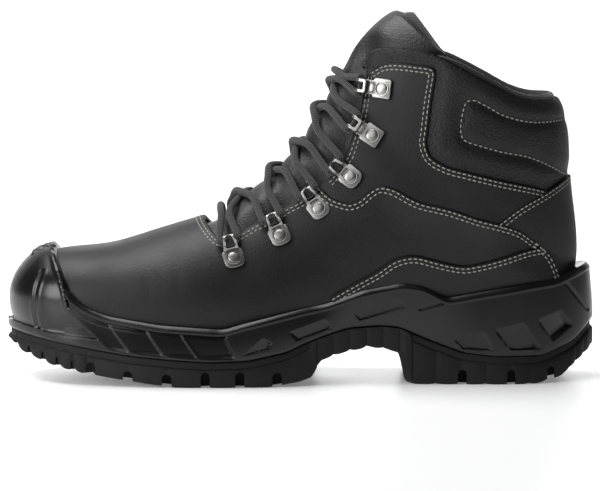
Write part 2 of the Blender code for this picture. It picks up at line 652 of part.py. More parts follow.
def slot_cutter():
    """All the slots and channels of the tread, as one cutter of boxes that stay apart."""
    work = bmesh.new()
    for row in SLOTS:
        slot = dict(zip(SLOT_COLUMNS, row))
        left = slot["x"] - slot["width"] / 2
        right = slot["x"] + slot["width"] / 2
        for side in (-1, 1):
            edge = float(outline_at(math.acos(-slot["x"] / (LENGTH / 2)), side, 0.0)[1])
            ends = sorted((edge - side * min(slot["reach"], abs(edge) * SLOT_SHARE), side * BEYOND))
            add_box(work, (left, ends[0], SLOT_BELOW), (right, ends[1], slot["top"]))
    for x in CHANNELS:
        depth = float(line(TREAD, x)) + CHANNEL_DEPTH
        half = CHANNEL_WIDTH / 2
        add_box(work, (x - half, -CHANNEL_HALF, SLOT_BELOW), (x + half, CHANNEL_HALF, depth))
    mesh = bpy.data.meshes.new("tread slots")
    work.to_mesh(mesh)
    work.free()
    return cutter("tread slots", mesh)


def make_insole():
    """Footbed inside the upper, on the floor of the midsole."""
    u = np.array(INSOLE_STEPS)
    s = section(u)
    toe = np.clip(1 - u / INSOLE_TOE, 0, 1)
    heel = np.clip((u - INSOLE_HEEL) / INSOLE_HEEL_RUN, 0, 1)
    x = s["end_x"] + INSOLE_MARGIN * (toe - heel)
    points = []
    for side, foot in ((-1, s["foot_lateral"]), (1, s["foot_medial"])):
        y = s["centre"] + side * np.maximum(foot - INSOLE_MARGIN, INSOLE_LEAST)
        for lift in (SEAM_GAP, SEAM_GAP + INSOLE):
            points.append(np.stack((x, y, s["end_z"] + lift), axis=-1))
    count = len(u)
    index = np.arange(4 * count).reshape(4, count)
    faces = ladder_faces(index[0], index[1]) + ladder_faces(index[3], index[2])
    faces += ladder_faces(index[1], index[3]) + ladder_faces(index[2], index[0])
    faces += [tuple(index[[0, 1, 3, 2], end]) for end in (0, -1)]
    part("insole", mesh_of("insole", np.vstack(points), faces), "textile")


def tongue_rows(inward):
    """Rows of the tongue's face, each from the lateral to the medial edge, that far inside the form."""
    rows = []
    across = np.linspace(-1, 1, TONGUE_ACROSS + 1)
    side = np.where(across < 0, -1.0, 1.0)
    for u in TONGUE_STEPS:
        gap = float(section(np.array(u))["gap"])
        half = min(gap + TONGUE_TUCK, TONGUE_HALF) if u > THROAT else TONGUE_FOOT
        width = np.abs(across) * half
        here = np.full_like(width, u)
        t = np.maximum(turn_at(here, width, side), RIDGE)
        swell = np.clip((gap - SWELL_MARGIN - width) / SWELL_REACH, 0, 1)
        swell *= np.clip(u - THROAT - SWELL_START, 0, 1)
        dip = np.clip((THROAT + DIP_END - u) / DIP_RUN, 0, 1)
        depth = inward - TONGUE_SWELL * swell + TONGUE_DIP * dip
        rows.append(form(here, t, side) - form_normal(here, t, side) * depth[:, None])
    last = np.full_like(across, COLLAR)
    for x, z, slope, half in TONGUE_TOP:
        arc = form(last, np.maximum(turn_at(last, np.abs(across) * half, side), RIDGE), side)
        fall = np.hypot(arc[:, 0] - SECTIONS[-1][0], arc[:, 2] - SECTIONS[-1][1])
        back = math.cos(math.radians(slope))
        down = math.sin(math.radians(slope))
        y = arc[:, 1] * (1 - inward / SHAFT_HALF)
        ahead, tilt, drop = TONGUE_TOP_LEAN
        lean = np.array((ahead + tilt * down, 0, -drop)) * (inward - UPPER_WALL - TONGUE_CLEAR)
        rows.append(np.stack((x + back * fall, y, z - down * fall), axis=-1) + lean)
    return np.stack(rows)


def make_tongue():
    """Padded tongue under the throat, standing above the collar."""
    outer = tongue_rows(UPPER_WALL + TONGUE_CLEAR)
    inner = tongue_rows(UPPER_WALL + TONGUE_CLEAR + TONGUE_THICK)
    rows, columns = outer.shape[:2]
    points = np.vstack((outer.reshape(-1, 3), inner.reshape(-1, 3)))
    index = np.arange(len(points)).reshape(2, rows, columns)
    faces = grid_faces(rows, columns, 0) + grid_faces(rows, columns, rows * columns, flip=True)
    for edge in (np.s_[:, :, 0], np.s_[:, :, -1], np.s_[:, 0, :], np.s_[:, -1, :]):
        first, second = index[edge]
        faces += ladder_faces(first, second)
    part("tongue", mesh_of("tongue", points, faces), "soft leather")


def locate(x, z):
    """The u and t of the form's lateral point nearest to a place in the side view."""
    u, t = np.meshgrid(
        np.linspace(LOCATE_FROM, COLLAR, LOCATE_STEPS[0]), np.linspace(0, 1, LOCATE_STEPS[1]), indexing="ij",
    )
    points = form(u, t, -1.0)
    away = np.hypot(points[..., 0] - x, points[..., 2] - z)
    i = np.unravel_index(away.argmin(), away.shape)
    return float(u[i]), float(t[i])


def at(value):
    """A value as an array of one."""
    return np.array([value], float)


def seat(row, side):
    """Frame of a piece of lace hardware: X towards the lace, Z off the leather."""
    piece = dict(zip(HARDWARE_COLUMNS, row))
    u, t = locate(piece["rivet_x"], piece["rivet_z"])
    normal = Vector(form_normal(at(u), at(t), side)[0])
    place = Vector(form(at(u), at(t), side)[0]) + normal * (piece["lift"] + SEAM_GAP)
    far_u, far_t = locate(piece["end_x"], piece["end_z"])
    ahead = Vector(form(at(far_u), at(far_t), side)[0]) - place
    ahead = (ahead - normal * ahead.dot(normal)).normalized()
    across = normal.cross(ahead)
    frame = Matrix((ahead, across, normal)).transposed().to_4x4()
    frame.translation = place * MM
    return frame


def flat_mesh(name, loops, depth):
    """Mesh of flat outlines, the later ones holes, drawn out by a depth from z = 0."""
    curve = bpy.data.curves.new(name, "CURVE")
    curve.dimensions = "2D"
    curve.fill_mode = "BOTH"
    curve.extrude = depth * MM / 2
    for loop in loops:
        run = curve.splines.new("POLY")
        run.points.add(len(loop) - 1)
        run.use_cyclic_u = True
        for point, (x, y) in zip(run.points, loop):
            point.co = (x * MM, y * MM, 0, 1)
    mesh = solid_from(curve)
    mesh.transform(Matrix.Translation((0, 0, depth * MM / 2)))
    return mesh


def solid_from(curve):
    """Closed mesh of a curve."""
    holder = bpy.data.objects.new(curve.name, curve)
    bpy.context.scene.collection.objects.link(holder)
    bpy.context.view_layer.update()
    graph = bpy.context.evaluated_depsgraph_get()
    mesh = bpy.data.meshes.new_from_object(holder.evaluated_get(graph))
    bpy.data.objects.remove(holder)
    work = bmesh.new()
    work.from_mesh(mesh)
    bmesh.ops.remove_doubles(work, verts=work.verts, dist=1e-6)
    bmesh.ops.recalc_face_normals(work, faces=work.faces)
    work.to_mesh(mesh)
    work.free()
    return mesh


def rivet_mesh(base):
    """Domed rivet head standing on a plate of that thickness."""
    work = bmesh.new()
    depth = RIVET_HEIGHT + base / 2
    bmesh.ops.create_cone(
        work,
        cap_ends=True,
        segments=RIVET_SIDES,
        radius1=RIVET_RADIUS * MM,
        radius2=RIVET_RADIUS * RIVET_TOP * MM,
        depth=depth * MM,
        matrix=Matrix.Translation((0, 0, (base + depth) / 2 * MM)),
    )
    mesh = bpy.data.meshes.new("rivet")
    work.to_mesh(mesh)
    work.free()
    return mesh


def make_hardware():
    """Closed rings low on the throat and open hooks above them, with their rivets."""
    for side, where in ((-1.0, "lateral"), (1.0, "medial")):
        for number, row in enumerate(RINGS + HOOKS):
            if number < len(RINGS):
                name = f"ring_{where}_{number + 1}"
                mesh = flat_mesh(name, (RING_OUTER, RING_WINDOW), PLATE_THICK)
            else:
                name = f"hook_{where}_{number - len(RINGS) + 1}"
                mesh = flat_mesh(name, (HOOK_PROFILE,), HOOK_WIDTH)
                mesh.transform(Matrix.Translation((0, 0, -HOOK_WIDTH * MM / 2)))
                mesh.transform(Matrix.Rotation(math.pi / 2, 4, "X"))
            frame = seat(row, side)
            mesh.transform(frame)
            rivet = rivet_mesh(PLATE_THICK)
            rivet.transform(frame)
            obj = part(name, mesh, "nickel")
            boolean(obj, "UNION", cutter(f"{name} rivet", rivet))


def lace_run(name, start, end):
    """Tube of lace from one lateral place to one medial place across the tongue."""
    share = np.linspace(0, 1, LACE_POINTS)
    left, right = [
        abs(float(form(at(u), at(t), side)[0, 1])) - LACE_STOP for (u, t), side in ((start, -1.0), (end, 1.0))
    ]
    across = -left + (left + right) * share
    side = np.where(across < 0, -1.0, 1.0)
    u = start[0] + (end[0] - start[0]) * share
    t = np.maximum(turn_at(u, np.abs(across), side), RIDGE)
    inside = np.clip((section(u)["gap"] - np.abs(across)) / LACE_SINK_REACH, 0, 1)
    lift = LACE_LIFT - LACE_SINK * inside
    points = form(u, t, side) + form_normal(u, t, side) * lift[:, None]
    curve = bpy.data.curves.new(name, "CURVE")
    curve.dimensions = "3D"
    curve.bevel_depth = LACE_DIAMETER * MM / 2
    curve.bevel_resolution = 2
    curve.use_fill_caps = True
    run = curve.splines.new("POLY")
    run.points.add(LACE_POINTS - 1)
    for point, place in zip(run.points, points):
        point.co = (*(place * MM), 1)
    return solid_from(curve)


def make_lace():
    """Straight bars over the lowest rings and the top hooks, with crossings between, all joined."""
    places = []
    for row in RINGS + HOOKS:
        piece = dict(zip(HARDWARE_COLUMNS, row))
        places.append(locate(piece["end_x"], piece["end_z"]))
    lace = part("lace", lace_run("lace", places[0], places[0]), "cord")
    runs = [(places[-1], places[-1])]
    for low, high in zip(places, places[1:]):
        runs += [(low, high), (high, low)]
    for first, second in runs:
        boolean(lace, "UNION", cutter("lace run", lace_run("lace run", first, second)))


def centre_boot():
    """Moves every piece so that the sole's box is centred on the origin."""
    angle = stations()
    low = outline_at(angle, -1, 0.0)[1].min()
    high = outline_at(angle, 1, 0.0)[1].max()
    for obj in list(PARTS.objects) + list(CUTTERS.objects):
        obj.location.y = -(low + high) / 2 * MM


clear_scene()
PARTS = collection("safety boot")
CUTTERS = collection("cutters")
make_upper()
make_panels()
make_midsole()
make_outsole()
make_insole()
make_tongue()
make_hardware()
make_lace()
centre_boot()
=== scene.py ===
"""Looks of a lace-up safety boot for the left foot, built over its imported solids.

The toe points to -X and the outer (lateral) side faces -Y. Every leather panel is a patch of the boot's
form, which is lofted through sections that fan from upright at the toe to level at the collar.
"""

import functools
import math
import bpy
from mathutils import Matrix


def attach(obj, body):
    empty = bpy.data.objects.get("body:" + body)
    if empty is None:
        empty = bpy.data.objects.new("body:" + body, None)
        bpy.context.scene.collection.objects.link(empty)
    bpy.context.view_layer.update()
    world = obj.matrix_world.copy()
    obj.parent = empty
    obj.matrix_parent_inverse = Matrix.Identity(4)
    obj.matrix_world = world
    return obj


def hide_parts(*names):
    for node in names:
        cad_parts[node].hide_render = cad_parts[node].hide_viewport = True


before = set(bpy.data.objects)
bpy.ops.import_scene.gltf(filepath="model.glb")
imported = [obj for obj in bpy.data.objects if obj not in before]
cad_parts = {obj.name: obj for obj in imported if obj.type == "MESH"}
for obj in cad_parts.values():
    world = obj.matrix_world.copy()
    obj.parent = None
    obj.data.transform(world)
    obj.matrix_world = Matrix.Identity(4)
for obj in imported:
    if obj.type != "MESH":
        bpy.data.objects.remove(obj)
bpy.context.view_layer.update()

import types

import bmesh
import bpy
import numpy as np
from mathutils import Matrix, Vector
from mathutils.geometry import delaunay_2d_cdt
from mathutils.kdtree import KDTree

bl_info = {
    "name": "Safety boot",
    "version": (1, 0, 0),
    "blender": (4, 5, 0),
    "location": "View3D > Sidebar > Boot",
    "description": "Leather panels, sole, lace and stage of a lace-up safety boot",
    "category": "Object",
}

MM = 0.001
SIDES = ((-1.0, "lateral"), (1.0, "medial"))

# The boot's form in millimetres: sections from the toe tip to the collar
SECTION_COLUMNS = (
    "top_x", "top_z", "end_x", "end_z", "lateral", "medial", "foot_lateral", "foot_medial",
    "centre", "widest", "crown", "heel", "bow", "wave", "gap",
)
HALF_WIDTHS = ("lateral", "medial", "foot_lateral", "foot_medial")
SECTIONS = (
    (-138.5, 60.5, -145.0, 27.0, 0.0, 0.0, 0.0, 0.0, 8.0, 0.60, 2.3, 2.0, 6.5, 0.0, 0.0),
    (-137.2, 61.6, -143.5, 26.6, 11.0, 10.0, 9.0, 8.0, 7.7, 0.60, 2.3, 2.0, 6.3, 0.0, 0.0),
    (-133.4, 63.9, -138.8, 25.6, 21.5, 19.5, 17.5, 16.0, 7.0, 0.60, 2.3, 2.0, 5.6, 0.0, 0.0),
    (-126.0, 65.8, -130.5, 24.3, 31.0, 28.0, 26.0, 23.5, 5.8, 0.60, 2.3, 2.0, 4.3, 0.0, 0.0),
    (-114.0, 67.4, -117.0, 22.4, 38.3, 35.2, 32.5, 30.0, 4.2, 0.61, 2.3, 2.0, 2.4, 0.0, 0.0),
    (-97.0, 69.6, -98.0, 20.4, 43.8, 42.0, 37.5, 36.5, 2.4, 0.62, 2.25, 2.0, 0.8, 0.0, 0.0),
    (-78.0, 75.4, -77.0, 18.7, 47.6, 46.6, 41.0, 40.5, 1.0, 0.64, 2.15, 2.0, 0.0, 0.0, 0.0),
    (-60.0, 81.0, -55.0, 18.0, 49.4, 47.0, 42.5, 40.5, 0.3, 0.66, 2.05, 2.0, 0.0, 0.0, 33.0),
    (-43.5, 86.4, -30.0, 19.0, 48.4, 43.6, 41.5, 36.0, 0.0, 0.67, 1.95, 2.0, 0.0, 0.0, 34.0),
    (-28.5, 94.0, -4.0, 22.3, 44.8, 39.5, 37.5, 30.5, 0.0, 0.66, 1.88, 2.0, 0.0, 0.0, 29.0),
    (-13.5, 105.4, 24.0, 29.2, 41.0, 37.2, 32.5, 27.0, 0.0, 0.64, 1.86, 2.0, 0.0, 0.0, 27.5),
    (-0.5, 119.6, 56.0, 35.2, 38.6, 37.0, 29.0, 27.0, 0.0, 0.60, 1.90, 2.0, 0.0, 0.0, 28.5),
    (9.0, 135.0, 89.0, 37.4, 38.2, 37.8, 29.5, 28.5, 0.0, 0.55, 1.95, 2.05, 0.0, 0.0, 28.0),
    (14.5, 144.5, 116.0, 39.0, 38.4, 38.2, 26.5, 26.0, 0.0, 0.52, 2.0, 1.9, 0.0, 0.5, 25.5),
    (18.0, 150.5, 134.0, 43.5, 38.4, 38.4, 18.0, 18.0, 0.0, 0.51, 2.0, 1.85, 0.0, 1.0, 23.5),
    (20.8, 155.5, 141.6, 57.0, 38.4, 38.4, 0.0, 0.0, 0.0, 0.50, 2.0, 1.85, 0.0, 1.8, 22.0),
    (23.0, 159.6, 142.2, 75.0, 38.3, 38.3, 0.0, 0.0, 0.0, 0.50, 2.0, 1.88, 0.0, 2.6, 21.0),
    (25.0, 163.3, 140.2, 93.0, 38.2, 38.2, 0.0, 0.0, 0.0, 0.50, 2.0, 1.92, 0.0, 3.4, 20.0),
    (27.0, 167.0, 138.4, 112.0, 38.4, 38.4, 0.0, 0.0, 0.0, 0.50, 2.0, 1.98, 0.0, 4.2, 17.5),
    (29.0, 171.0, 137.2, 131.0, 39.0, 39.0, 0.0, 0.0, 0.0, 0.50, 2.0, 2.05, 0.0, 5.0, 15.0),
    (31.0, 175.0, 132.5, 147.0, 39.6, 39.6, 0.0, 0.0, 0.0, 0.50, 2.0, 2.1, 0.0, 5.6, 12.5),
)
COLLAR = len(SECTIONS) - 1.0
COLLAR_MORE = COLLAR + 0.8
HEEL_TURN = 14.98
HEEL_BACK = 15.0
THROAT = 7.6
THROAT_ROUND = 0.6
RIDGE = 1e-4
UPPER_WALL = 2.2
SEAM_GAP = 0.3

# The sole's outline from above and its lines in the side view
LENGTH = 305.0
TOE_SWING = 8.0
OUTLINE_COLUMNS = ("x", "centre", "lateral", "medial")
OUTLINE = (
    (-149.0, 7.8, 6.5, 20.5),
    (-127.0, 5.5, 33.5, 39.5),
    (-106.0, 3.5, 43.5, 46.5),
    (-87.0, 2.0, 49.0, 50.0),
    (-67.0, 0.8, 52.5, 51.5),
    (-47.0, 0.0, 54.0, 50.0),
    (-27.0, 0.0, 53.0, 46.0),
    (-7.0, 0.0, 49.0, 41.0),
    (14.0, 0.0, 43.4, 38.0),
    (34.0, 0.0, 39.6, 36.2),
    (51.0, 0.0, 38.4, 36.2),
    (67.0, 0.0, 38.6, 37.0),
    (84.0, 0.0, 39.2, 38.0),
    (100.0, 0.0, 39.6, 38.8),
    (117.0, 0.0, 37.4, 37.0),
    (149.0, 0.0, 13.0, 13.0),
)
TREAD = (
    (-152.5, 20.0), (-144, 14), (-129, 9.4), (-113, 6.2), (-96, 4), (-77, 1.5), (-64, 0), (-16, 0),
    (0, 2.4), (6, 4.5), (11, 13), (22, 16.5), (36, 19.3), (46, 17.7), (54, 15.0), (57.5, 0.0),
    (122, 0.0), (135, 3), (143, 9.5), (152.5, 17),
)
JOINT = (
    (-152.5, 25.5), (-143, 24), (-127, 21.6), (-106, 18.2), (-87, 15.6), (-67, 14), (-47, 12.9),
    (-27, 13.6), (-7, 17.5), (3, 22), (14, 26), (25, 29.2), (42, 30.2), (51, 29.3), (67, 22.6),
    (84, 16.4), (100, 14.6), (125, 14.6), (142, 21), (152.5, 31),
)
RIM = (
    (-152.5, 50.5), (-123, 50.5), (-118, 43.6), (-111, 39.2), (-100.5, 35.6), (-73, 31.6), (-40, 29.5),
    (-29, 32.6), (0, 39.2), (14, 42), (32, 48.6), (52, 52.3), (62, 51), (75, 44.3), (92, 47), (122, 51.8),
    (134, 53), (152.5, 60),
)
RIM_EASE = 3.0
RIM_INSET = (
    (-152.5, 0.8), (-100, 1.0), (8, 1.0), (30, -2.2), (72, -1.6), (95, 1.1), (110, 1.2), (130, 1.6),
    (152.5, 1.8),
)
CAP_LINE = ((-129.5, 82), (-128, 70), (-119.3, 50.5), (-115.5, 39.5), (-108, 32), (-99, 24))
CAP_JOINT = ((-123, 49), (-119.3, 37), (-111, 29.6), (-102, 22))
CAP_FLOOR = ((-99, 24), (-127, 26), (-160, 31.5))

# Seams of the leather panels in the side view
CUFF_SEAM = (
    (38, 159), (42.6, 162), (48, 163), (58.5, 162.4), (67.5, 160.9), (67.9, 159.5), (66, 146.5), (64, 130),
    (63.3, 123.7), (66, 116), (74, 111), (86, 107.6), (104, 103), (122, 98.6), (128, 96.4), (133, 94),
)
COUNTER_SEAM = ((101.5, 83.5), (112, 91), (126.4, 98.5), (138.6, 105.6))
VAMP_SEAM = (
    (5.5, 104), (15, 94.5), (20.5, 92.3), (26, 91.4), (31, 93.4), (36.5, 98), (41, 100.4), (47, 99.5),
    (60, 93), (76, 89), (92, 83.6), (103, 80.5), (112, 77), (120, 71), (125.6, 65), (129, 58.5), (131.5, 51),
)
COLLAR_EDGE = (
    (31.6, 162), (32.6, 165.4), (34.4, 168.6), (37.6, 171.2), (42, 172.3), (48, 172.4), (62, 170.8),
    (72.5, 167.4), (85, 160.8), (98, 153.8), (111.5, 147.2), (121.4, 145), (132, 146),
)
ROLL_EDGE = (
    (64, 168), (70, 168.2), (76, 167), (85, 163.4), (98, 157), (111.5, 150.4), (121.4, 148.2), (132, 149),
)
GUARD_SEAM = (
    (17, 44.5), (28, 50.6), (40, 57), (48, 62.4), (54, 64.4), (60, 64.7), (68, 62.7), (76, 60.7),
    (84, 59.5), (92, 60.6), (104, 63.6), (116, 67), (123, 68),
)
CUFF_STITCH = (
    (139, 133.6), (132.6, 134), (124.5, 133.7), (115.7, 134.5), (103.7, 138), (95.4, 142.6), (88.5, 145.8),
    (85, 145), (83.2, 140.6), (82, 130), (83.6, 125.7), (92, 122.4), (103.7, 119), (115.7, 116.5),
    (124.5, 113), (139.5, 104.6),
)

# Lace hardware on each side, from the lowest up: rivet and lace end in the side view, and its seat
HARDWARE_COLUMNS = ("rivet_x", "rivet_z", "end_x", "end_z", "lift")
RINGS = (
    (-33.8, 65.0, -38.3, 76.7, 0.0),
    (-10.2, 76.2, -15.9, 87.5, 0.0),
    (9.7, 90.0, 1.5, 101.0, 0.0),
    (26.4, 106.0, 14.5, 114.4, 1.2),
)
HOOKS = ((37.5, 127.0, 25.0, 134.6, 1.2), (43.0, 151.0, 30.0, 152.3, 1.2))


def columns(table, names):
    """A table's columns by name."""
    return dict(zip(names, np.array(table, float).T))


def spline(knots, values, at):
    """Smooth curve through the values at the knots, read at the given places."""
    knots = np.asarray(knots, float)
    values = np.asarray(values, float)
    at = np.asarray(at, float)
    step = np.diff(knots)
    matrix = np.eye(len(knots))
    turn = np.zeros(values.shape)
    for i in range(1, len(knots) - 1):
        matrix[i, i - 1 : i + 2] = step[i - 1] / 6, (step[i - 1] + step[i]) / 3, step[i] / 6
        turn[i] = (values[i + 1] - values[i]) / step[i] - (values[i] - values[i - 1]) / step[i - 1]
    bend = np.linalg.solve(matrix, turn)
    i = np.clip(np.searchsorted(knots, at) - 1, 0, len(knots) - 2)
    more = (1,) * (values.ndim - 1)
    a = ((knots[i + 1] - at) / step[i]).reshape(at.shape + more)
    b = 1 - a
    width = (step[i] ** 2 / 6).reshape(at.shape + more)
    return a * values[i] + b * values[i + 1] + ((a**3 - a) * bend[i] + (b**3 - b) * bend[i + 1]) * width


def line(table, x, ease=2.5):
    """Height of a short line at x, with its corners eased."""
    xs, zs = np.array(table, float).T
    near = np.linspace(-ease, ease, 9)
    return np.interp(np.asarray(x, float)[..., None] + near, xs, zs).mean(axis=-1)


def section(u):
    """The columns of the section at u. The toe rows are mirrored past the tip, which makes it round."""
    u = np.asarray(u, float)
    table = np.array(SECTIONS)
    mirrored = table[2:0:-1].copy()
    for name in HALF_WIDTHS:
        mirrored[:, SECTION_COLUMNS.index(name)] *= -1
    read = spline(np.arange(-2, len(table)), np.vstack((mirrored, table)), u)
    found = {name: read[..., i] for i, name in enumerate(SECTION_COLUMNS)}
    for name in ("foot_lateral", "foot_medial"):
        found[name] = np.where(u > HEEL_TURN, 0.0, np.maximum(found[name], 0.0))
    start = np.clip((u - THROAT) / THROAT_ROUND, 0, 1)
    gap = np.interp(u, np.arange(len(table)), table[:, -1])
    found["gap"] = gap * np.sqrt(1 - (1 - start) ** 2)
    return found


def form(u, t, side):
    """Point of the boot's form: u along the sections, t from the ridge to the end, side -1 or 1."""
    s = section(u)
    wide = np.where(side < 0, s["lateral"], s["medial"])
    foot = np.where(side < 0, s["foot_lateral"], s["foot_medial"])
    a = np.clip(t / 0.5, 0, 1) * math.pi / 2
    b = np.clip((t - 0.5) / 0.5, 0, 1) * math.pi / 2
    upper = t < 0.5
    power = np.where(upper, 2 / s["crown"], 2 / s["heel"])
    rise = np.where(upper, 1 - np.abs(np.cos(a)) ** power, np.sin(b) ** power)
    share = np.where(upper, s["widest"] * rise, s["widest"] + (1 - s["widest"]) * rise)
    spread = np.where(upper, wide * np.sin(a) ** power, foot + (wide - foot) * np.abs(np.cos(b)) ** power)
    dx = s["end_x"] - s["top_x"]
    dz = s["end_z"] - s["top_z"]
    push = s["bow"] * 4 * share * (1 - share) - s["wave"] * np.sin(2 * math.pi * share)
    push = push / np.hypot(dx, dz)
    x = s["top_x"] + dx * share + dz * push
    z = s["top_z"] + dz * share - dx * push
    return np.stack((x, s["centre"] + side * spread, z), axis=-1)


def slopes(u, t, side):
    """The form's directions along the sections and round them, and its outward normal."""
    d = 1e-3
    low = np.maximum(t - d, 0.0)
    high = np.minimum(t + d, 1.0)
    along = (form(u + d, t, side) - form(u - d, t, side)) / (2 * d)
    around = (form(u, high, side) - form(u, low, side)) / (high - low)[..., None]
    normal = np.cross(along, around) * np.asarray(side)[..., None]
    normal /= np.maximum(np.linalg.norm(normal, axis=-1, keepdims=True), 1e-9)
    return along, around, normal


def middle(u, t):
    """True where the boot's two sides meet: the ridge, the tip of the toe and the back of the heel."""
    return (t < 2 * RIDGE) | (u < 1e-6) | ((t > 1 - 1e-6) & (u >= HEEL_BACK))


def lifted(u, t, side, height):
    """Points that far off the form. Those on the middle line stay on it."""
    normal = slopes(u, np.maximum(t, RIDGE), side)[2]
    normal[..., 1] = np.where(middle(u, t), 0.0, normal[..., 1])
    normal /= np.linalg.norm(normal, axis=-1, keepdims=True)
    return form(u, t, side) + normal * np.asarray(height)[..., None]


def turn_at(u, half_width, side):
    """The t at which the form's upper half is that far from the centre line."""
    s = section(u)
    wide = np.maximum(np.where(side < 0, s["lateral"], s["medial"]), 1e-6)
    return np.arcsin(np.clip(half_width / wide, 0, 1) ** (s["crown"] / 2)) / math.pi


def throat_edge(u, side):
    """The edge of the throat: chart places for the given u."""
    u = np.asarray(u, float)
    return np.stack((u, turn_at(u, section(u)["gap"], side)), axis=-1)


def outline_at(angle, side, inward):
    """Point of the sole's outline seen from above, moved inwards. The angle runs from toe to heel."""
    table = columns(OUTLINE, OUTLINE_COLUMNS)
    reach = np.sin(np.arccos(-table["x"] / (LENGTH / 2)))
    edge = table["lateral"] + table["centre"] if side < 0 else table["medial"] - table["centre"]
    x = -(LENGTH / 2) * np.cos(angle)
    held = np.clip(x, table["x"][0], table["x"][-1])
    full = spline(table["x"], edge / reach, held)
    centre = np.interp(x, (-LENGTH / 2, *table["x"]), (TOE_SWING, *table["centre"]))
    return -(LENGTH / 2 - inward) * np.cos(angle), centre + side * (full - inward) * np.sin(angle)


ROUND = np.linspace(0, math.pi, 721)
SHIFT = -(outline_at(ROUND, -1, 0.0)[1].min() + outline_at(ROUND, 1, 0.0)[1].max()) / 2


def smooth_path(points, step):
    """Even places along a rounded curve through a few places."""
    p = np.array(points, float)
    p = np.vstack((2 * p[0] - p[1], p, 2 * p[-1] - p[-2]))
    made = []
    for a, b, c, d in zip(p, p[1:], p[2:], p[3:]):
        k = np.cumsum((0, *(math.sqrt(np.linalg.norm(f - e)) for e, f in ((a, b), (b, c), (c, d)))))
        s = np.linspace(k[1], k[2], 17)[:-1, None]
        ab = ((k[1] - s) * a + (s - k[0]) * b) / (k[1] - k[0])
        bc = ((k[2] - s) * b + (s - k[1]) * c) / (k[2] - k[1])
        cd = ((k[3] - s) * c + (s - k[2]) * d) / (k[3] - k[2])
        abc = ((k[2] - s) * ab + (s - k[0]) * bc) / (k[2] - k[0])
        bcd = ((k[3] - s) * bc + (s - k[1]) * cd) / (k[3] - k[1])
        made.append(((k[2] - s) * abc + (s - k[1]) * bcd) / (k[2] - k[1]))
    return evenly(np.vstack((*made, p[-2:-1])), step)


def run_along(path):
    """Length of a path up to each of its points."""
    return np.concatenate(([0], np.cumsum(np.linalg.norm(np.diff(path, axis=0), axis=1))))


def evenly(path, step):
    """The path with its points that far apart."""
    run = run_along(path)
    at = np.linspace(0, run[-1], max(int(round(run[-1] / step)), 2) + 1)
    return np.stack([np.interp(at, run, path[:, i]) for i in range(path.shape[1])], axis=-1)


# Search for the chart place of a place in the side view: rounds, and the largest step in u and in t
SEARCH_ROUNDS = 8
SEARCH_STEPS = (0.2, 0.03)
CHART_U, CHART_T = np.meshgrid(np.linspace(0, COLLAR_MORE, 401), np.linspace(0, 1, 201), indexing="ij")
CHART_PLACES = form(CHART_U, CHART_T, -1.0)[..., ::2].reshape(-1, 2)


def on_form(places):
    """Chart places (u, t) of places in the side view."""
    places = np.asarray(places, float)
    first = [((CHART_PLACES - p) ** 2).sum(axis=1).argmin() for p in places]
    u = CHART_U.reshape(-1)[first]
    t = CHART_T.reshape(-1)[first]
    most_u, most_t = SEARCH_STEPS
    for _ in range(SEARCH_ROUNDS):
        miss = places - form(u, t, -1.0)[:, ::2]
        along, around, _ = slopes(u, t, np.full_like(u, -1.0))
        au, bu = along[:, 0], along[:, 2]
        at, bt = around[:, 0], around[:, 2]
        det = au * bt - bu * at
        det = np.where(np.abs(det) < 1e-3, np.inf, det)
        step_u = (miss[:, 0] * bt - miss[:, 1] * at) / det
        step_t = (au * miss[:, 1] - bu * miss[:, 0]) / det
        u = np.clip(u + np.clip(step_u, -most_u, most_u), 0, COLLAR_MORE)
        t = np.clip(t + np.clip(step_t, -most_t, most_t), 0, 1)
    t = np.where((t > 0.99) & (u >= HEEL_BACK - 0.5), 1.0, t)
    return np.stack((u, t), axis=-1)


def straight(start, end, count):
    """Chart places between two chart places."""
    return np.linspace(start, end, count)


def moved(uv, side, distance):
    """A chart path moved sideways over the form by a distance in millimetres."""
    u, t = uv.T
    side = np.full_like(u, side)
    along, around, normal = slopes(u, t, side)
    ahead = np.gradient(form(u, t, side), axis=0)
    ahead /= np.maximum(np.linalg.norm(ahead, axis=1, keepdims=True), 1e-9)
    aside = np.cross(normal, ahead)
    a = (along**2).sum(axis=1)
    b = (along * around).sum(axis=1)
    c = (around**2).sum(axis=1)
    p = (along * aside).sum(axis=1)
    q = (around * aside).sum(axis=1)
    det = np.maximum(a * c - b**2, 1e-2)
    step = np.stack(((c * p - b * q) / det, (a * q - b * p) / det), axis=-1) * distance
    return np.clip(uv + step, (0, 0), (COLLAR_MORE, 1))


def inside(points, loop):
    """True for the points inside a closed loop."""
    found = np.zeros(len(points), bool)
    for a, b in zip(loop, np.roll(loop, -1, axis=0)):
        crosses = (a[1] > points[:, 1]) != (b[1] > points[:, 1])
        if crosses.any():
            at = (b[0] - a[0]) * (points[:, 1] - a[1]) / (b[1] - a[1] + 1e-12) + a[0]
            found ^= crosses & (points[:, 0] < at)
    return found


def nearest(points, path):
    """Distance from each point to a dense path."""
    tree = KDTree(len(path))
    for i, place in enumerate(path):
        tree.insert(place, i)
    tree.balance()
    return np.array([tree.find(place)[2] for place in points])


def flat(places):
    """Places of a flat view as points."""
    return np.pad(places, ((0, 0), (0, 1)))


# A panel's mesh: millimetres of a unit of u and of t, rings of points inside its edge, the least distance
# between points, and the width of the dark band on its cut edge, partly edge ink and partly painted shade
CHART_MM = np.array((14.0, 130.0))
EDGE_RINGS = (0.3, 0.7, 1.2, 2.0)
EDGE_STEP = 0.4
POINT_GAP = 0.12
INK_AND_SHADE_WIDTH = 1.2


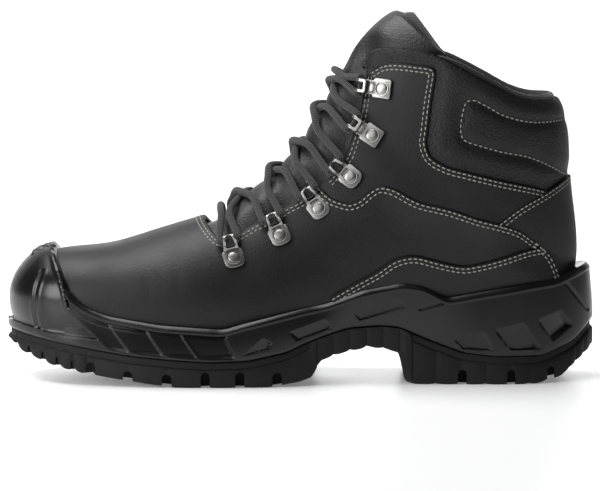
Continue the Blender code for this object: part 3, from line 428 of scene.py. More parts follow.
def patch(name, loops, height, base, steps):
    """Closed mesh of a panel: a patch of the form inside a loop on each side, joined on the middle line.

    The loops function gives a side's runs of chart places, each with its kind: free edges are rounded,
    hidden ones are not, and middle ones are joined to the other side's. The height function gives the
    outer face, from the places, the chart places, the side and the distance to the free edges. The base is
    the inner face's height, or a function of that distance.
    """
    points = []
    faces = []
    ink = []
    count = 0
    for side in (-1.0, 1.0):
        runs = loops(side)
        if not runs:
            continue
        loop = np.vstack([uv[:-1] for uv, _ in runs])
        edges = [uv for uv, kind in runs if kind == "free"]
        dense = np.vstack([evenly(uv * CHART_MM, EDGE_STEP) / CHART_MM for uv in edges])
        border = form(*dense.T, side)
        more = []
        for uv in edges:
            for distance in EDGE_RINGS:
                best = max((moved(uv, side, way * distance) for way in (-1, 1)),
                           key=lambda path: inside(path * CHART_MM, loop * CHART_MM).sum())
                away = nearest(form(*best.T, side), border)
                more.append(best[away > 0.8 * distance])
        low = loop.min(axis=0)
        high = loop.max(axis=0)
        spans = (np.arange(low[i], high[i], steps[i]) + steps[i] / 2 for i in (0, 1))
        grid = np.stack(np.meshgrid(*spans), axis=-1).reshape(-1, 2)
        away = nearest(form(*grid.T, side), border)
        more.append(grid[away > EDGE_RINGS[-1] * 1.2])
        more = np.vstack(more)
        more = more[inside(more * CHART_MM, loop * CHART_MM)]
        clear = nearest(flat(more * CHART_MM), flat(loop * CHART_MM))
        more = more[clear > POINT_GAP]
        chart = np.vstack((loop, more)) * CHART_MM
        made = delaunay_2d_cdt([Vector(p) for p in chart], [], [list(range(len(loop)))], 1, 1e-5)
        uv = np.array([tuple(v) for v in made[0]]) / CHART_MM
        u, t = uv.T
        place = form(u, t, side)
        far = nearest(place, border)
        outer = lifted(u, t, side, height(place, uv, side, far))
        inner = lifted(u, t, side, base(far) if callable(base) else np.full(len(u), base))
        triangles = np.array([face for face in made[2] if len(face) == 3])
        a, b, c = (outer[triangles[:, i]] for i in range(3))
        out = slopes(u, np.clip(t, RIDGE, 1), side)[2][triangles[:, 0]]
        facing = (np.cross(b - a, c - a) * out).sum(axis=1)
        triangles = np.where((facing < 0)[:, None], triangles[:, ::-1], triangles)
        ends = np.concatenate([triangles[:, [0, 1]], triangles[:, [1, 2]], triangles[:, [2, 0]]])
        keys = {tuple(e) for e in ends}
        mid = middle(u, t)
        rim = [(p, q) for p, q in keys if (q, p) not in keys and not (mid[p] and mid[q])]
        size = len(u)
        points += [outer, inner]
        # Dark edge band: partly black edge ink, partly painted shade of the gap at the panel's edge
        ink += [np.clip(1 - far / INK_AND_SHADE_WIDTH, 0, 1)] * 2
        faces += [tuple(f + count) for f in triangles]
        faces += [tuple(f[::-1] + count + size) for f in triangles]
        faces += [(q + count, p + count, p + count + size, q + count + size) for p, q in rim]
        count += 2 * size
    return mesh_of(name, np.vstack(points), faces, np.concatenate(ink))


def metres(points):
    """Points in the boot's millimetres as places of the scene."""
    return [tuple(p) for p in (np.asarray(points) + (0, SHIFT, 0)) * MM]


def mesh_of(name, points, faces, ink=None):
    """A welded mesh of points in the boot's millimetres, with a share of edge ink and painted shade at each
    point.
    """
    mesh = bpy.data.meshes.new(name)
    mesh.from_pydata(metres(points), [], [tuple(int(i) for i in f) for f in faces])
    if ink is not None:
        mesh.attributes.new("ink", "FLOAT", "POINT").data.foreach_set("value", ink.astype(np.float32))
    tidy(mesh)
    return mesh


# Angle in degrees from which an edge is sharp: in most pieces, in metal and in the outsole
SHARP = 50.0
METAL_SHARP = 40.0
SOLE_SHARP = 35.0


def tidy(mesh, angle=SHARP):
    """Welds a mesh, drops empty faces, turns its faces out and shades it smooth but for its sharp edges."""
    work = bmesh.new()
    work.from_mesh(mesh)
    bmesh.ops.remove_doubles(work, verts=work.verts, dist=1e-7)
    bmesh.ops.dissolve_degenerate(work, edges=work.edges, dist=1e-8)
    bmesh.ops.recalc_face_normals(work, faces=work.faces)
    work.to_mesh(mesh)
    work.free()
    mesh.shade_smooth()
    mesh.set_sharp_from_angle(angle=math.radians(angle))


def grid_faces(rows, across, first=0):
    """Quads of a grid of points."""
    corners = [first + i * across + j for i in range(rows - 1) for j in range(across - 1)]
    return [(k, k + 1, k + across + 1, k + across) for k in corners]


def strip(a, b):
    """Quads between two rows of points."""
    return [(a[i], a[i + 1], b[i + 1], b[i]) for i in range(len(a) - 1)]


def placed(name, data):
    """A new object of that data, in the scene."""
    obj = bpy.data.objects.new(name, data)
    bpy.context.scene.collection.objects.link(obj)
    return obj


def piece(name, mesh, look, slot, *nodes):
    """A finished piece of the boot, which stands for those solids."""
    obj = placed(name, mesh)
    mesh.materials.clear()
    mesh.materials.append(finish(look))
    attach(obj, "root")
    if nodes:
        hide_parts(*nodes)
    return obj


def solid_from(obj):
    """Plain mesh of an object as it is evaluated. The object is removed."""
    bpy.context.view_layer.update()
    graph = bpy.context.evaluated_depsgraph_get()
    mesh = bpy.data.meshes.new_from_object(obj.evaluated_get(graph))
    bpy.data.objects.remove(obj)
    return mesh


def smooth_step(value):
    """Soft step from 0 to 1."""
    value = np.clip(value, 0, 1)
    return value * value * (3 - 2 * value)


def rolled(far, radius):
    """Height share of a panel's rounded edge."""
    return np.sqrt(1 - (1 - np.clip(far / radius, 0, 1)) ** 2)


def colour(code):
    """Linear colour of an sRGB hex value."""
    values = [int(code[i : i + 2], 16) / 255 for i in (1, 3, 5)]
    return (*(v / 12.92 if v <= 0.04045 else ((v + 0.055) / 1.055) ** 2.4 for v in values), 1.0)


def add(tree, kind, inputs=None, **settings):
    """Adds a node with its settings. An input is a value, or the socket that it is linked to."""
    made = tree.nodes.new(kind)
    for name, value in settings.items():
        setattr(made, name, value)
    for name, value in (inputs or {}).items():
        if isinstance(value, bpy.types.NodeSocket):
            tree.links.new(value, made.inputs[name])
        else:
            made.inputs[name].default_value = value
    return made


def new_material(name, values):
    """A Principled material with plain values, its tree and its shader."""
    made = bpy.data.materials.new(name)
    made.use_nodes = True
    shader = made.node_tree.nodes["Principled BSDF"]
    for key, value in values.items():
        shader.inputs[key].default_value = value
    return made, made.node_tree, shader


def texture(tree, kind, where, size, inputs=None, **settings):
    """A texture node whose cells are that many millimetres across."""
    return add(tree, kind, {"Vector": where, "Scale": 1 / (size * MM), **(inputs or {})}, **settings)


def noise(tree, where, size, detail):
    """Soft unevenness of that size."""
    return texture(tree, "ShaderNodeTexNoise", where, size, {"Detail": detail})


def maths(tree, operation, *values):
    """Result of a maths node on values or sockets."""
    return add(tree, "ShaderNodeMath", dict(enumerate(values)), operation=operation).outputs["Value"]


def mixed(tree, share, first, second):
    """Colour between two, by a share."""
    return add(tree, "ShaderNodeMixRGB", {"Fac": share, "Color1": first, "Color2": second}).outputs["Color"]


def ranged(tree, value, low, high, start=0.0, end=1.0):
    """A value from start to end as one from low to high."""
    ends = {"From Min": start, "From Max": end, "To Min": low, "To Max": high}
    return add(tree, "ShaderNodeMapRange", {"Value": value, **ends}).outputs["Result"]


def bumped(tree, height, depth, invert=False):
    """Direction of a surface with bumps of that depth in millimetres."""
    values = {"Height": height, "Strength": 1.0, "Distance": depth * MM}
    return add(tree, "ShaderNodeBump", values, invert=invert).outputs["Normal"]


def linked(tree, shader, **sockets):
    """Links sockets to the shader's inputs. An underscore stands for a space in an input's name."""
    for name, socket in sockets.items():
        tree.links.new(socket, shader.inputs[name.replace("_", " ")])


# Size of the soft unevenness of leather, polymer and nickel in millimetres
LEATHER_PATCHES = 22
POLYMER_PATCHES = 30
NICKEL_PATCHES = 6
# Unevenness of gloss: the noise's usual span, the leather's and the polymer's change, and the nickel's ends
NOISE_SPAN = (0.3, 0.7)
LEATHER_WEAR = 0.0625
POLYMER_WEAR = 0.05
NICKEL_GLOSS = (0.27, 0.35)
# Edge ink and painted shade on a cut edge: its colour, and the leather's shine without and with it
INK_AND_SHADE_COLOUR = "#060606"
INK_AND_SHADE_SHINE = (0.36, 0.02)
# Braid of the lace: strands round it, millimetres of a strand along it, and the strands' depth
BRAID = (6, 2.4, 0.5)


def grained(name, base, light, grain, depth, rough, coat):
    """Leather: finished hide with pebbled grain, softly uneven in colour and gloss, edges dark with ink and
    painted shade.
    """
    made, tree, shader = new_material(name, {"Coat Weight": coat, "Coat Roughness": 0.35})
    where = add(tree, "ShaderNodeTexCoord").outputs["Object"]
    uneven = noise(tree, where, LEATHER_PATCHES, 4.0).outputs["Fac"]
    warp = noise(tree, where, grain * 2.5, 2.0).outputs["Color"]
    bent = add(tree, "ShaderNodeVectorMath", {0: warp, "Scale": grain * MM * 1.6}, operation="SCALE")
    at = add(tree, "ShaderNodeVectorMath", {0: where, 1: bent.outputs["Vector"]}, operation="ADD")
    cells = texture(tree, "ShaderNodeTexVoronoi", at.outputs["Vector"], grain)
    # Dark edge band: partly black edge ink, partly painted shade of the gap at each panel's edge; its shine
    # drops too
    ink = add(tree, "ShaderNodeAttribute", attribute_name="ink").outputs["Fac"]
    linked(
        tree,
        shader,
        Base_Color=mixed(tree, ink, mixed(tree, uneven, base, light), colour(INK_AND_SHADE_COLOUR)),
        Specular_IOR_Level=ranged(tree, ink, *INK_AND_SHADE_SHINE),
        Roughness=ranged(tree, uneven, rough - LEATHER_WEAR, rough + LEATHER_WEAR, *NOISE_SPAN),
        Normal=bumped(tree, cells.outputs["Distance"], depth, True),
    )
    return made


def moulded(name, base, light, rough, grit, depth, coat=0.0):
    """Moulded polymer: an even colour with a fine spark-eroded texture from the mould."""
    values = {"Coat Weight": coat, "Coat Roughness": 0.2, "Specular IOR Level": 0.3}
    made, tree, shader = new_material(name, values)
    where = add(tree, "ShaderNodeTexCoord").outputs["Object"]
    soft = noise(tree, where, POLYMER_PATCHES, 3.0).outputs["Fac"]
    linked(
        tree,
        shader,
        Base_Color=mixed(tree, soft, base, light),
        Roughness=ranged(tree, soft, rough - POLYMER_WEAR, rough + POLYMER_WEAR, *NOISE_SPAN),
        Normal=bumped(tree, noise(tree, where, grit, 2.0).outputs["Fac"], depth),
    )
    return made


def woven(name, base, light, thread, depth):
    """Knitted or woven polyester: matt, with fine threads that cross; painted highlight on them, painted
    shade between.
    """
    made, tree, shader = new_material(name, {"Roughness": 0.9, "Sheen Weight": 0.3})
    where = add(tree, "ShaderNodeTexCoord").outputs["Object"]
    waves = [
        texture(tree, "ShaderNodeTexWave", where, thread * 3, {"Distortion": 0.6}, bands_direction=way)
        for way in ("DIAGONAL", "Z")
    ]
    both = maths(tree, "MULTIPLY", *(wave.outputs["Fac"] for wave in waves))
    # The threads' relief also mixes the colour: painted highlight where they are raised, painted shade
    # between them
    linked(tree, shader, Base_Color=mixed(tree, both, base, light), Normal=bumped(tree, both, depth))
    return made


def nickel_plate(name, base):
    """Nickel-plated steel: bright metal, polished by tumbling, with faint uneven gloss."""
    made, tree, shader = new_material(name, {"Metallic": 1.0, "Base Color": base})
    where = add(tree, "ShaderNodeTexCoord").outputs["Object"]
    soft = noise(tree, where, NICKEL_PATCHES, 2.0).outputs["Fac"]
    linked(tree, shader, Roughness=ranged(tree, soft, *NICKEL_GLOSS))
    return made


def braided(name, base, light):
    """Round braided polyester lace: strands that cross on the slant, read from the lace's own map, with
    painted highlight and shade.
    """
    made, tree, shader = new_material(name, {"Roughness": 0.85, "Sheen Weight": 0.25})
    where = add(tree, "ShaderNodeUVMap", uv_map="braid").outputs["UV"]
    parts = add(tree, "ShaderNodeSeparateXYZ", {"Vector": where}).outputs
    waves = []
    for way in (1.0, -1.0):
        slant = maths(tree, "MULTIPLY_ADD", parts["Y"], way, parts["X"])
        waves.append(maths(tree, "SINE", maths(tree, "MULTIPLY", slant, 2 * math.pi)))
    share = ranged(tree, maths(tree, "MULTIPLY", *waves), 0.0, 1.0, -1.0, 1.0)
    # The braid's relief also mixes the colour: painted highlight on the raised strands, painted shade between
    # them
    linked(tree, shader, Base_Color=mixed(tree, share, base, light), Normal=bumped(tree, share, BRAID[2]))
    return made


def size_prop(label, words, value):
    """A length property, given in millimetres and kept in metres."""
    length = {"precision": 4, "subtype": "DISTANCE", "unit": "LENGTH"}
    return bpy.props.FloatProperty(name=label, description=words, default=value * MM, min=0.0, **length)


def colour_prop(label, words, code):
    """A colour property, given as an sRGB hex value and kept linear."""
    return bpy.props.FloatVectorProperty(
        name=label, description=words, default=colour(code), size=4, min=0.0, max=1.0, subtype="COLOR"
    )


class BootSizes(bpy.types.PropertyGroup):
    """Sizes of the boot's trim."""

    panel: size_prop("Panel", "Thickness of a leather panel", 1.2)
    edge: size_prop("Edge", "Rounding of a panel's edge", 0.9)
    lip: size_prop("Lip", "Rise of the vamp where it laps the quarter", 1.9)
    cap: size_prop("Toe cap", "Thickness of the toe cap", 3.0)
    cap_flare: size_prop("Toe cap flare", "Extra thickness at the toe cap's foot", 2.4)
    pad: size_prop("Cuff padding", "Swell of the padded cuff between its stitches", 1.5)
    roll: size_prop("Collar roll", "Swell of the padded lining inside the collar", 4.0)
    lace: size_prop("Lace", "Diameter of the lace", 3.8)
    pitch: size_prop("Stitch pitch", "Distance between stitches", 2.75)
    stitch: size_prop("Stitch length", "Visible length of a stitch", 2.0)
    thread: size_prop("Thread", "Thickness of the sewing thread", 0.6)
    rows: size_prop("Row gap", "Distance between the two rows of a double seam", 1.95)
    margin: size_prop("Seam margin", "Distance from a panel's edge to its first row", 1.7)


class BootColours(bpy.types.PropertyGroup):
    """Colours of the boot."""

    leather: colour_prop("Leather", "Smooth leather", "#0e0e10")
    leather_light: colour_prop("Leather light", "Lighter places of the smooth leather", "#151517")
    cuff: colour_prop("Cuff", "Soft leather", "#0c0c0e")
    foam: colour_prop("Midsole", "Moulded midsole", "#0a0a0b")
    cap: colour_prop("Toe cap", "Moulded toe cap", "#08080a")
    rubber: colour_prop("Outsole", "Rubber outsole", "#0f0f10")
    lining: colour_prop("Lining", "Textile lining", "#111112")
    # Painted highlight on the lining's raised threads
    lining_painted_highlight: colour_prop("Lining light", "Raised threads of the lining", "#1d1d1e")
    thread: colour_prop("Thread", "Sewing thread", "#a3a194")
    # Painted highlight on the thread's raised strands
    thread_painted_highlight: colour_prop("Thread light", "Raised strands of the thread", "#b8b6a9")
    lace: colour_prop("Lace", "Lace", "#141416")
    # Painted highlight on the lace's raised strands; in the tongue leather, the lighter places of its random
    # tone
    lace_painted_highlight_and_tongue_tone: colour_prop("Lace light", "Raised strands of the lace", "#242426")
    metal: colour_prop("Metal", "Lace hardware", "#9a9996")
    floor: colour_prop("Floor", "Studio floor", "#f4f4f4")


def sizes():
    """The scene's boot sizes in millimetres."""
    held = bpy.context.scene.boot_sizes
    return types.SimpleNamespace(**{name: getattr(held, name) / MM for name in BootSizes.__annotations__})


def colours():
    """The scene's boot colours."""
    held = bpy.context.scene.boot_colours
    return types.SimpleNamespace(**{name: tuple(getattr(held, name)) for name in BootColours.__annotations__})


FINISHES = {}


def finish(name):
    """A finish of the boot, made once."""
    tint = colours()
    makers = {
        # Pressed and finished hide: fine shallow grain under a low, even sheen
        "smooth leather": (grained, tint.leather, tint.leather_light, 1.0, 0.09, 0.54, 0.06),
        # Tumbled hide: deeper pebbles that break up the light
        "soft leather": (grained, tint.cuff, tint.leather, 1.2, 0.3, 0.52, 0.04),
        # Tumbled hide with a glossier finish: pebbles with small bright points
        "tongue leather": (grained, tint.lace, tint.lace_painted_highlight_and_tongue_tone, 1.1, 0.2, 0.46, 0.15),
        # Polyurethane foam with a moulded skin: a satin black with soft highlights
        "moulded foam": (moulded, tint.foam, tint.rubber, 0.3, 0.8, 0.012, 0.25),
        # Dense moulded polyurethane: smoother, with a clear highlight over the toe
        "moulded cap": (moulded, tint.cap, tint.foam, 0.27, 0.9, 0.012, 0.3),
        # Vulcanised rubber: matt and even, with a fine grit
        "rubber": (moulded, tint.rubber, tint.leather_light, 0.62, 0.7, 0.05),
        # Knitted polyester: matt, with threads drawn coarser than they are so that they show, their tops a
        # painted highlight
        "textile lining": (woven, tint.lining, tint.lining_painted_highlight, 1.2, 0.2),
        # Twisted polyester: pale and matt, its raised strands painted lighter as a painted highlight
        "sewing thread": (woven, tint.thread, tint.thread_painted_highlight, 0.6, 0.05),
        # Plated and tumbled steel: bright, with soft-edged reflections
        "nickel plate": (nickel_plate, tint.metal),
        # Braided polyester: matt strands on the slant, drawn coarser than they are so that they show, with
        # painted highlight and shade
        "braided lace": (braided, tint.lace, tint.lace_painted_highlight_and_tongue_tone),
    }
    if name not in FINISHES:
        maker, *values = makers[name]
        FINISHES[name] = maker(name, *values)
    return FINISHES[name]


# Leather panels: step along a seam, lap under the next panel, where the vamp starts under the toe cap and
# where the collar's padded lining ends
PATH_STEP = 1.0
LAP = 3.0
VAMP_START = 2.2
ROLL_FOOT = 17.2


@functools.lru_cache(maxsize=None)
def seam_path(points):
    """Chart path of a seam."""
    return on_form(smooth_path(points, PATH_STEP))


def seam(points, side, out=0.0, from_throat=False):
    """A seam's chart path on one side, moved out from its stitches. It may start on the throat's edge."""
    uv = moved(seam_path(points), side, -side * out)
    if from_throat:
        edge = throat_edge(uv[:, 0], side)[:, 1]
        first = int(np.argmax(uv[:, 1] > edge + 0.004))
        uv = np.vstack((throat_edge(uv[first : first + 1, 0], side), uv[first:]))
    return uv


def vamp_loops(side):
    """Vamp and side: from under the toe cap to the counter, over the quarter's foot."""
    top = seam(VAMP_SEAM, side, sizes().margin, True)
    last = top[-1]
    return (
        (straight((VAMP_START, 0), (THROAT, 0), 60), "middle"),
        (throat_edge(THROAT + (top[0, 0] - THROAT) * np.linspace(0, 1, 90) ** 1.6, side), "free"),
        (top, "free"),
        (straight(last, (last[0], 1), 6), "hidden"),
        (straight((last[0], 1), (VAMP_START, 1), 140), "hidden"),
        (straight((VAMP_START, 1), (VAMP_START, 0), 60), "hidden"),
    )


def quarter_loops(side):
    """Quarter with its eyestay: over the cuff, and under the vamp and the counter."""
    low = seam(VAMP_SEAM[:12], side, -LAP, True)
    top = seam(CUFF_SEAM, side, sizes().margin, True)
    return (
        (throat_edge(np.linspace(low[0, 0], top[0, 0], 60), side), "free"),
        (top, "free"),
        (straight(top[-1], low[-1], 40), "hidden"),
        (low[::-1], "hidden"),
    )


def cuff_loops(side):
    """Padded cuff round the ankle, under the quarter and the counter."""
    low = seam(CUFF_SEAM[:-2], side, -LAP, True)
    top = seam(COLLAR_EDGE, side, 0.0, True)
    top[-1, 1] = 1
    back = seam(COUNTER_SEAM[2:], side, -LAP)
    back[-1, 1] = 1
    return (
        (throat_edge(np.linspace(low[0, 0], top[0, 0], 30), side), "free"),
        (top, "free"),
        (straight(top[-1], back[-1], 60), "middle"),
        (back[::-1], "hidden"),
        (np.vstack((back[:1], low[::-1])), "hidden"),
    )


def roll_loops(side):
    """Padded lining that rolls over inside the collar, behind the tongue."""
    top = seam(ROLL_EDGE, side)
    top[-1, 1] = 1
    foot = (ROLL_FOOT, 1.0)
    front = (ROLL_FOOT, top[0, 1])
    return (
        (top, "free"),
        (straight(top[-1], foot, 40), "middle"),
        (straight(foot, front, 90), "free"),
        (straight(front, top[0], 30), "free"),
    )


def counter_loops(side):
    """Counter round the back of the heel: over the quarter and the cuff, and under the vamp."""
    top = seam(COUNTER_SEAM, side)
    top[-1, 1] = 1
    low = seam(VAMP_SEAM[11:], side, -LAP)
    last = low[-1]
    return (
        (top, "free"),
        (straight(top[-1], (HEEL_BACK, 1), 60), "middle"),
        (straight((HEEL_BACK, 1), (last[0], 1), 6), "hidden"),
        (straight((last[0], 1), last, 6), "hidden"),
        (np.vstack((low[::-1], top[:1])), "hidden"),
    )


def guard_loops(side):
    """Guard panel above the sole's wave, over the vamp."""
    top = seam(GUARD_SEAM, side, sizes().margin)
    x = np.linspace(129, 17, 90)
    foot = on_form(np.stack((x, line(RIM, x, RIM_EASE) - 5.0), axis=-1))
    back = seam(VAMP_SEAM[12:], side, 1.0)
    back = back[form(*back.T, side)[:, 2] < form(*top[-1], side)[2] - 1.0]
    return (
        (top, "free"),
        (np.vstack((top[-1:], back)), "free"),
        (np.vstack((back[-1:], foot)), "hidden"),
        (straight(foot[-1], top[0], 8), "hidden"),
    )


def cap_loops(side):
    """Toe cap: from the ridge down to the sole, and forward of its joint with the foxing."""
    rear = seam_path(CAP_LINE)
    rear = rear[int(np.argmax(rear[:, 1] > 0.01)) :]
    rear = np.vstack(((rear[0, 0], 0), rear))
    foot = seam_path(CAP_FLOOR)
    foot = foot[: int(np.argmax(foot[:, 0] < 0.05))]
    foot = np.vstack((foot, (0, foot[-1, 1])))
    return (
        (straight((0, 0), rear[0], 50), "middle"),
        (rear, "free"),
        (np.vstack((rear[-1:], foot)), "free"),
        (straight(foot[-1], (0, 0), 40), "middle"),
    )


def beside(places, start, end):
    """Share of the way along a line in the side view, and distance from it, of places there."""
    a = np.array(start, float)
    b = np.array(end, float)
    run = np.clip(((places - a) @ (b - a)) / ((b - a) @ (b - a)), 0, 1)
    return run, np.linalg.norm(places - a - run[..., None] * (b - a), axis=-1)


def trough(place, start, end, width, depth):
    """Soft trough between two places in the side view."""
    run, away = beside(place[:, ::2], start, end)
    fade = np.sin(math.pi * np.clip(0.12 + 0.76 * run, 0, 1))
    return -depth * fade * np.exp(-((away / width) ** 2))


# Creases where the foot bends: two ends in the side view, width and depth
VAMP_CREASES = (
    ((-80, 72), (-76, 48), 3.2, 0.45),
    ((-72, 74), (-70, 52), 2.6, 0.5),
    ((-66, 76), (-62, 50), 3.4, 0.4),
    ((-46, 62), (-20, 48), 6.0, 0.35),
    ((-4, 66), (26, 58), 7.0, 0.30),
    ((44, 82), (70, 74), 6.0, 0.25),
)
QUARTER_CREASES = (((40, 128), (58, 104), 7.0, 0.35), ((60, 100), (84, 96), 6.0, 0.25))
# Panels' edges: how far they are sunk under the form, and the face's rise in thicknesses of a panel
VAMP_SINK = 0.7
QUARTER_RISE = (0.4, 0.8)
COUNTER_RISE = (0.6, 1.25)
GUARD_RISE = (0.3, 1.1)
# Reach of the vamp's lip from its edge, and a distance that is past every rounded edge
LIP_REACH = 8.0
PAST_EDGES = 9.0
# Padded cuff: sink and rounding of its edge, share and width of each of the two dips along its stitches,
# and the distances over which the padding starts at the panels over it and at its own edge
CUFF_SINK = 0.9
CUFF_ROUND = 2.0
CUFF_DIPS = ((0.75, 2.6), (0.25, 7.0))
CUFF_LAP = 9.0
CUFF_ROOM = 7.0
# Padded lining of the collar: depth of its face under the leather, that face's drop at its edge and the
# rounding there, then depth and rounding of its face towards the foot
ROLL_FACE = (1.0, 1.5, 3.0)
ROLL_BACK = (2.6, 9.0)


def drawn_up(far, sink, rise):
    """Height of a panel's face: sunk at its edge, then rounded up to its rise."""
    return -sink + (sink + rise) * rolled(far, sizes().edge)


def vamp_height(place, uv, side, far):
    """Vamp and side: flush with the form but for its rounded edges, its lip over the quarter and creases."""
    edge = seam(VAMP_SEAM, side, sizes().margin)
    away = nearest(place, form(*edge.T, side))
    rise = sizes().lip * np.exp(-((away / LIP_REACH) ** 2))
    return drawn_up(far, VAMP_SINK, rise) + sum(trough(place, *crease) for crease in VAMP_CREASES)


def quarter_height(place, uv, side, far):
    """Quarter: a panel over the form."""
    sink, rise = QUARTER_RISE
    fold = sum(trough(place, *crease) for crease in QUARTER_CREASES)
    return drawn_up(far, sink, rise * sizes().panel) + fold


def cuff_height(place, uv, side, far):
    """Cuff: padded, drawn in along its stitches and rolled over at the collar."""
    away = nearest(place, form(*seam_path(CUFF_STITCH).T, side))
    drawn = 1 - sum(share * np.exp(-((away / width) ** 2)) for share, width in CUFF_DIPS)
    over = np.vstack((seam(CUFF_SEAM, side, sizes().margin), seam(COUNTER_SEAM, side)))
    lap = smooth_step(nearest(place, form(*over.T, side)) / CUFF_LAP)
    room = np.clip(far / CUFF_ROOM, 0, 1)
    return CUFF_SINK * (rolled(far, CUFF_ROUND) - 1) + sizes().pad * drawn * lap * room * (2 - room)


def roll_height(place, uv, side, far):
    """Padded lining: its face under the leather."""
    depth, drop, radius = ROLL_FACE
    return -depth - drop * (1 - rolled(far, radius))


def roll_base(far):
    """Padded lining: its face towards the foot."""
    depth, radius = ROLL_BACK
    return -depth - sizes().roll * rolled(far, radius)


def counter_height(place, uv, side, far):
    """Counter: a panel over the quarter and the cuff."""
    sink, rise = COUNTER_RISE
    return drawn_up(far, sink, rise * sizes().panel)


def guard_height(place, uv, side, far):
    """Guard: a panel over the vamp."""
    sink, rise = GUARD_RISE
    below = vamp_height(place, uv, side, np.full(len(place), PAST_EDGES))
    return below + drawn_up(far, sink, rise * sizes().panel)


# The toe cap's side groove, and the studs on its top: rows, studs in a row, pitches, radius and height
CAP_GROOVE = ((-131, 55), (-133.8, 47), (-134.3, 39), (-132.8, 29))
STUDS = (5, 5, 3.4, 3.6, 1.3, 0.7)
STUD_PLACE = (-136.5, TOE_SWING - 1.5)
# The toe cap's groove and the ridge beside it: depth, distance and width. Then its rolled rim
CAP_WAVES = ((0.6, 0.0, 0.8), (-0.25, 1.6, 0.7))
CAP_RIM = (0.75, 1.7, 1.2)
# The toe cap's lowest height at its edge, the edge's rounding, and where its flare starts in t
CAP_SINK = 0.2
CAP_ROUND = 1.8
CAP_FLARE = 0.75


def wave(away, height, middle_at, width):
    """Soft ridge of that height at that distance."""
    return height * np.exp(-(((away - middle_at) / width) ** 2))


def cap_height(place, uv, side, far):
    """Toe cap: thick, flared at its foot, with a rolled rim, a groove on each side and studs on its top."""
    t = uv[:, 1]
    flare = np.clip((t - CAP_FLARE) / (1 - CAP_FLARE), 0, 1)
    away = nearest(flat(place[:, ::2]), flat(smooth_path(CAP_GROOVE, EDGE_STEP)))
    side_face = smooth_step((np.abs(place[:, 1] - TOE_SWING) - 9) / 4) * smooth_step((58 - place[:, 2]) / 5)
    sunk = sum(wave(away, *row) for row in CAP_WAVES) * side_face
    count, across, pitch, gap, radius, tall = STUDS
    first_x, middle_y = STUD_PLACE
    centres = [
        (first_x + pitch * (i + 0.5 * (j % 2)), middle_y + gap * (j - (across - 1) / 2), 0)
        for i in range(count)
        for j in range(across)
    ]
    from_stud = nearest(flat(place[:, :2]), centres)
    stud = tall * np.sqrt(np.clip(1 - (from_stud / radius) ** 2, 0, 1)) * (t < 0.45)
    rim = wave(far, *CAP_RIM) * (t < 0.8)
    full = SEAM_GAP + sizes().cap + sizes().cap_flare * flare
    return CAP_SINK + (full + rim - CAP_SINK) * rolled(far, CAP_ROUND) - sunk + stud


# Panels that stand for no solid of their own
NO_SOLID = ("vamp", "collar_lining")
# Steps of the panels' meshes in u and t
PANEL_STEPS = (0.1, 0.012)
VAMP_STEPS = (0.11, 0.012)
CAP_STEPS = (0.045, 0.008)
# Height of the panels' inner faces
PANEL_BASE = -0.9
VAMP_BASE = -1.2
GUARD_BASE = -0.4
CAP_BASE = 0.1


def make_panels():
    """All the leather panels, the collar's padded lining and the toe cap."""
    table = (
        ("vamp", vamp_loops, vamp_height, VAMP_BASE, VAMP_STEPS, "smooth leather", "leather"),
        ("collar_lining", roll_loops, roll_height, roll_base, PANEL_STEPS, "textile lining", "textile"),
        ("collar_cuff", cuff_loops, cuff_height, PANEL_BASE, PANEL_STEPS, "soft leather", "soft_leather"),
        ("heel_counter", counter_loops, counter_height, PANEL_BASE, PANEL_STEPS, "smooth leather", "leather"),
        ("toe_cap", cap_loops, cap_height, CAP_BASE, CAP_STEPS, "moulded cap", "cap"),
    )
    for name, loops, height, base, steps, look, slot in table:
        nodes = () if name in NO_SOLID else (name,)
        obj = piece(name, patch(name, loops, height, base, steps), look, slot, *nodes)
    for only, where in SIDES:
        for name, loops, height, base in (
            (f"quarter_{where}", quarter_loops, quarter_height, PANEL_BASE),
            (f"guard_{where}", guard_loops, guard_height, GUARD_BASE),
        ):
            mesh = patch(name, lambda side: loops(side) if side == only else None, height, base, PANEL_STEPS)
            piece(name, mesh, "smooth leather", "leather", name)


# Lining: depth of its outer face, its drop below the collar's edge, the section from which its rows bend to
# that edge, and the rows between the toe, the throat, the section where they grow wider apart and the collar
LINING_FACE = 0.95
LINING_DROP = 0.06
LEVEL = 16.0
LINING_ROWS = ((0, THROAT, 70), (THROAT, 8.4, 30), (8.4, COLLAR, 110))
LINING_ACROSS = 56


def make_lining():
    """Textile lining: a thin hollow shell inside the leather, open at the collar, the throat and below."""
    u = np.unique(np.concatenate([np.linspace(*run) for run in LINING_ROWS]))
    share = np.linspace(0, 1, LINING_ACROSS)
    points = []
    faces = []
    rows, across = len(u), len(share)
    edge = seam_path(COLLAR_EDGE)
    edge = edge[np.argsort(edge[:, 1])]
    for height in (-LINING_FACE, -UPPER_WALL):
        for side in (-1.0, 1.0):
            start = throat_edge(u, side)[:, 1]
            t = share[None, :] + start[:, None] * (1 - share[None, :]) ** 3
            top = np.interp(t, edge[:, 1], edge[:, 0]) - LINING_DROP
            bent = LEVEL + (u[:, None] - LEVEL) * (top - LEVEL) / (COLLAR - LEVEL)
            row = np.where(u[:, None] > LEVEL, bent, u[:, None])
            points.append(lifted(row, t, side, np.full(t.shape, height)).reshape(-1, 3))
            faces += grid_faces(rows, across, (len(points) - 1) * rows * across)
    index = np.arange(4 * rows * across).reshape(2, 2, rows, across)
    first = int(np.searchsorted(u, THROAT))
    turn = int(np.searchsorted(u, HEEL_BACK))
    for half in (0, 1):
        for border in (np.s_[-1, :], np.s_[first:, 0], np.s_[: turn + 1, -1]):
            faces += strip(index[0, half][border], index[1, half][border])
    piece("lining", mesh_of("lining", np.vstack(points), faces), "textile lining", "textile", "upper")


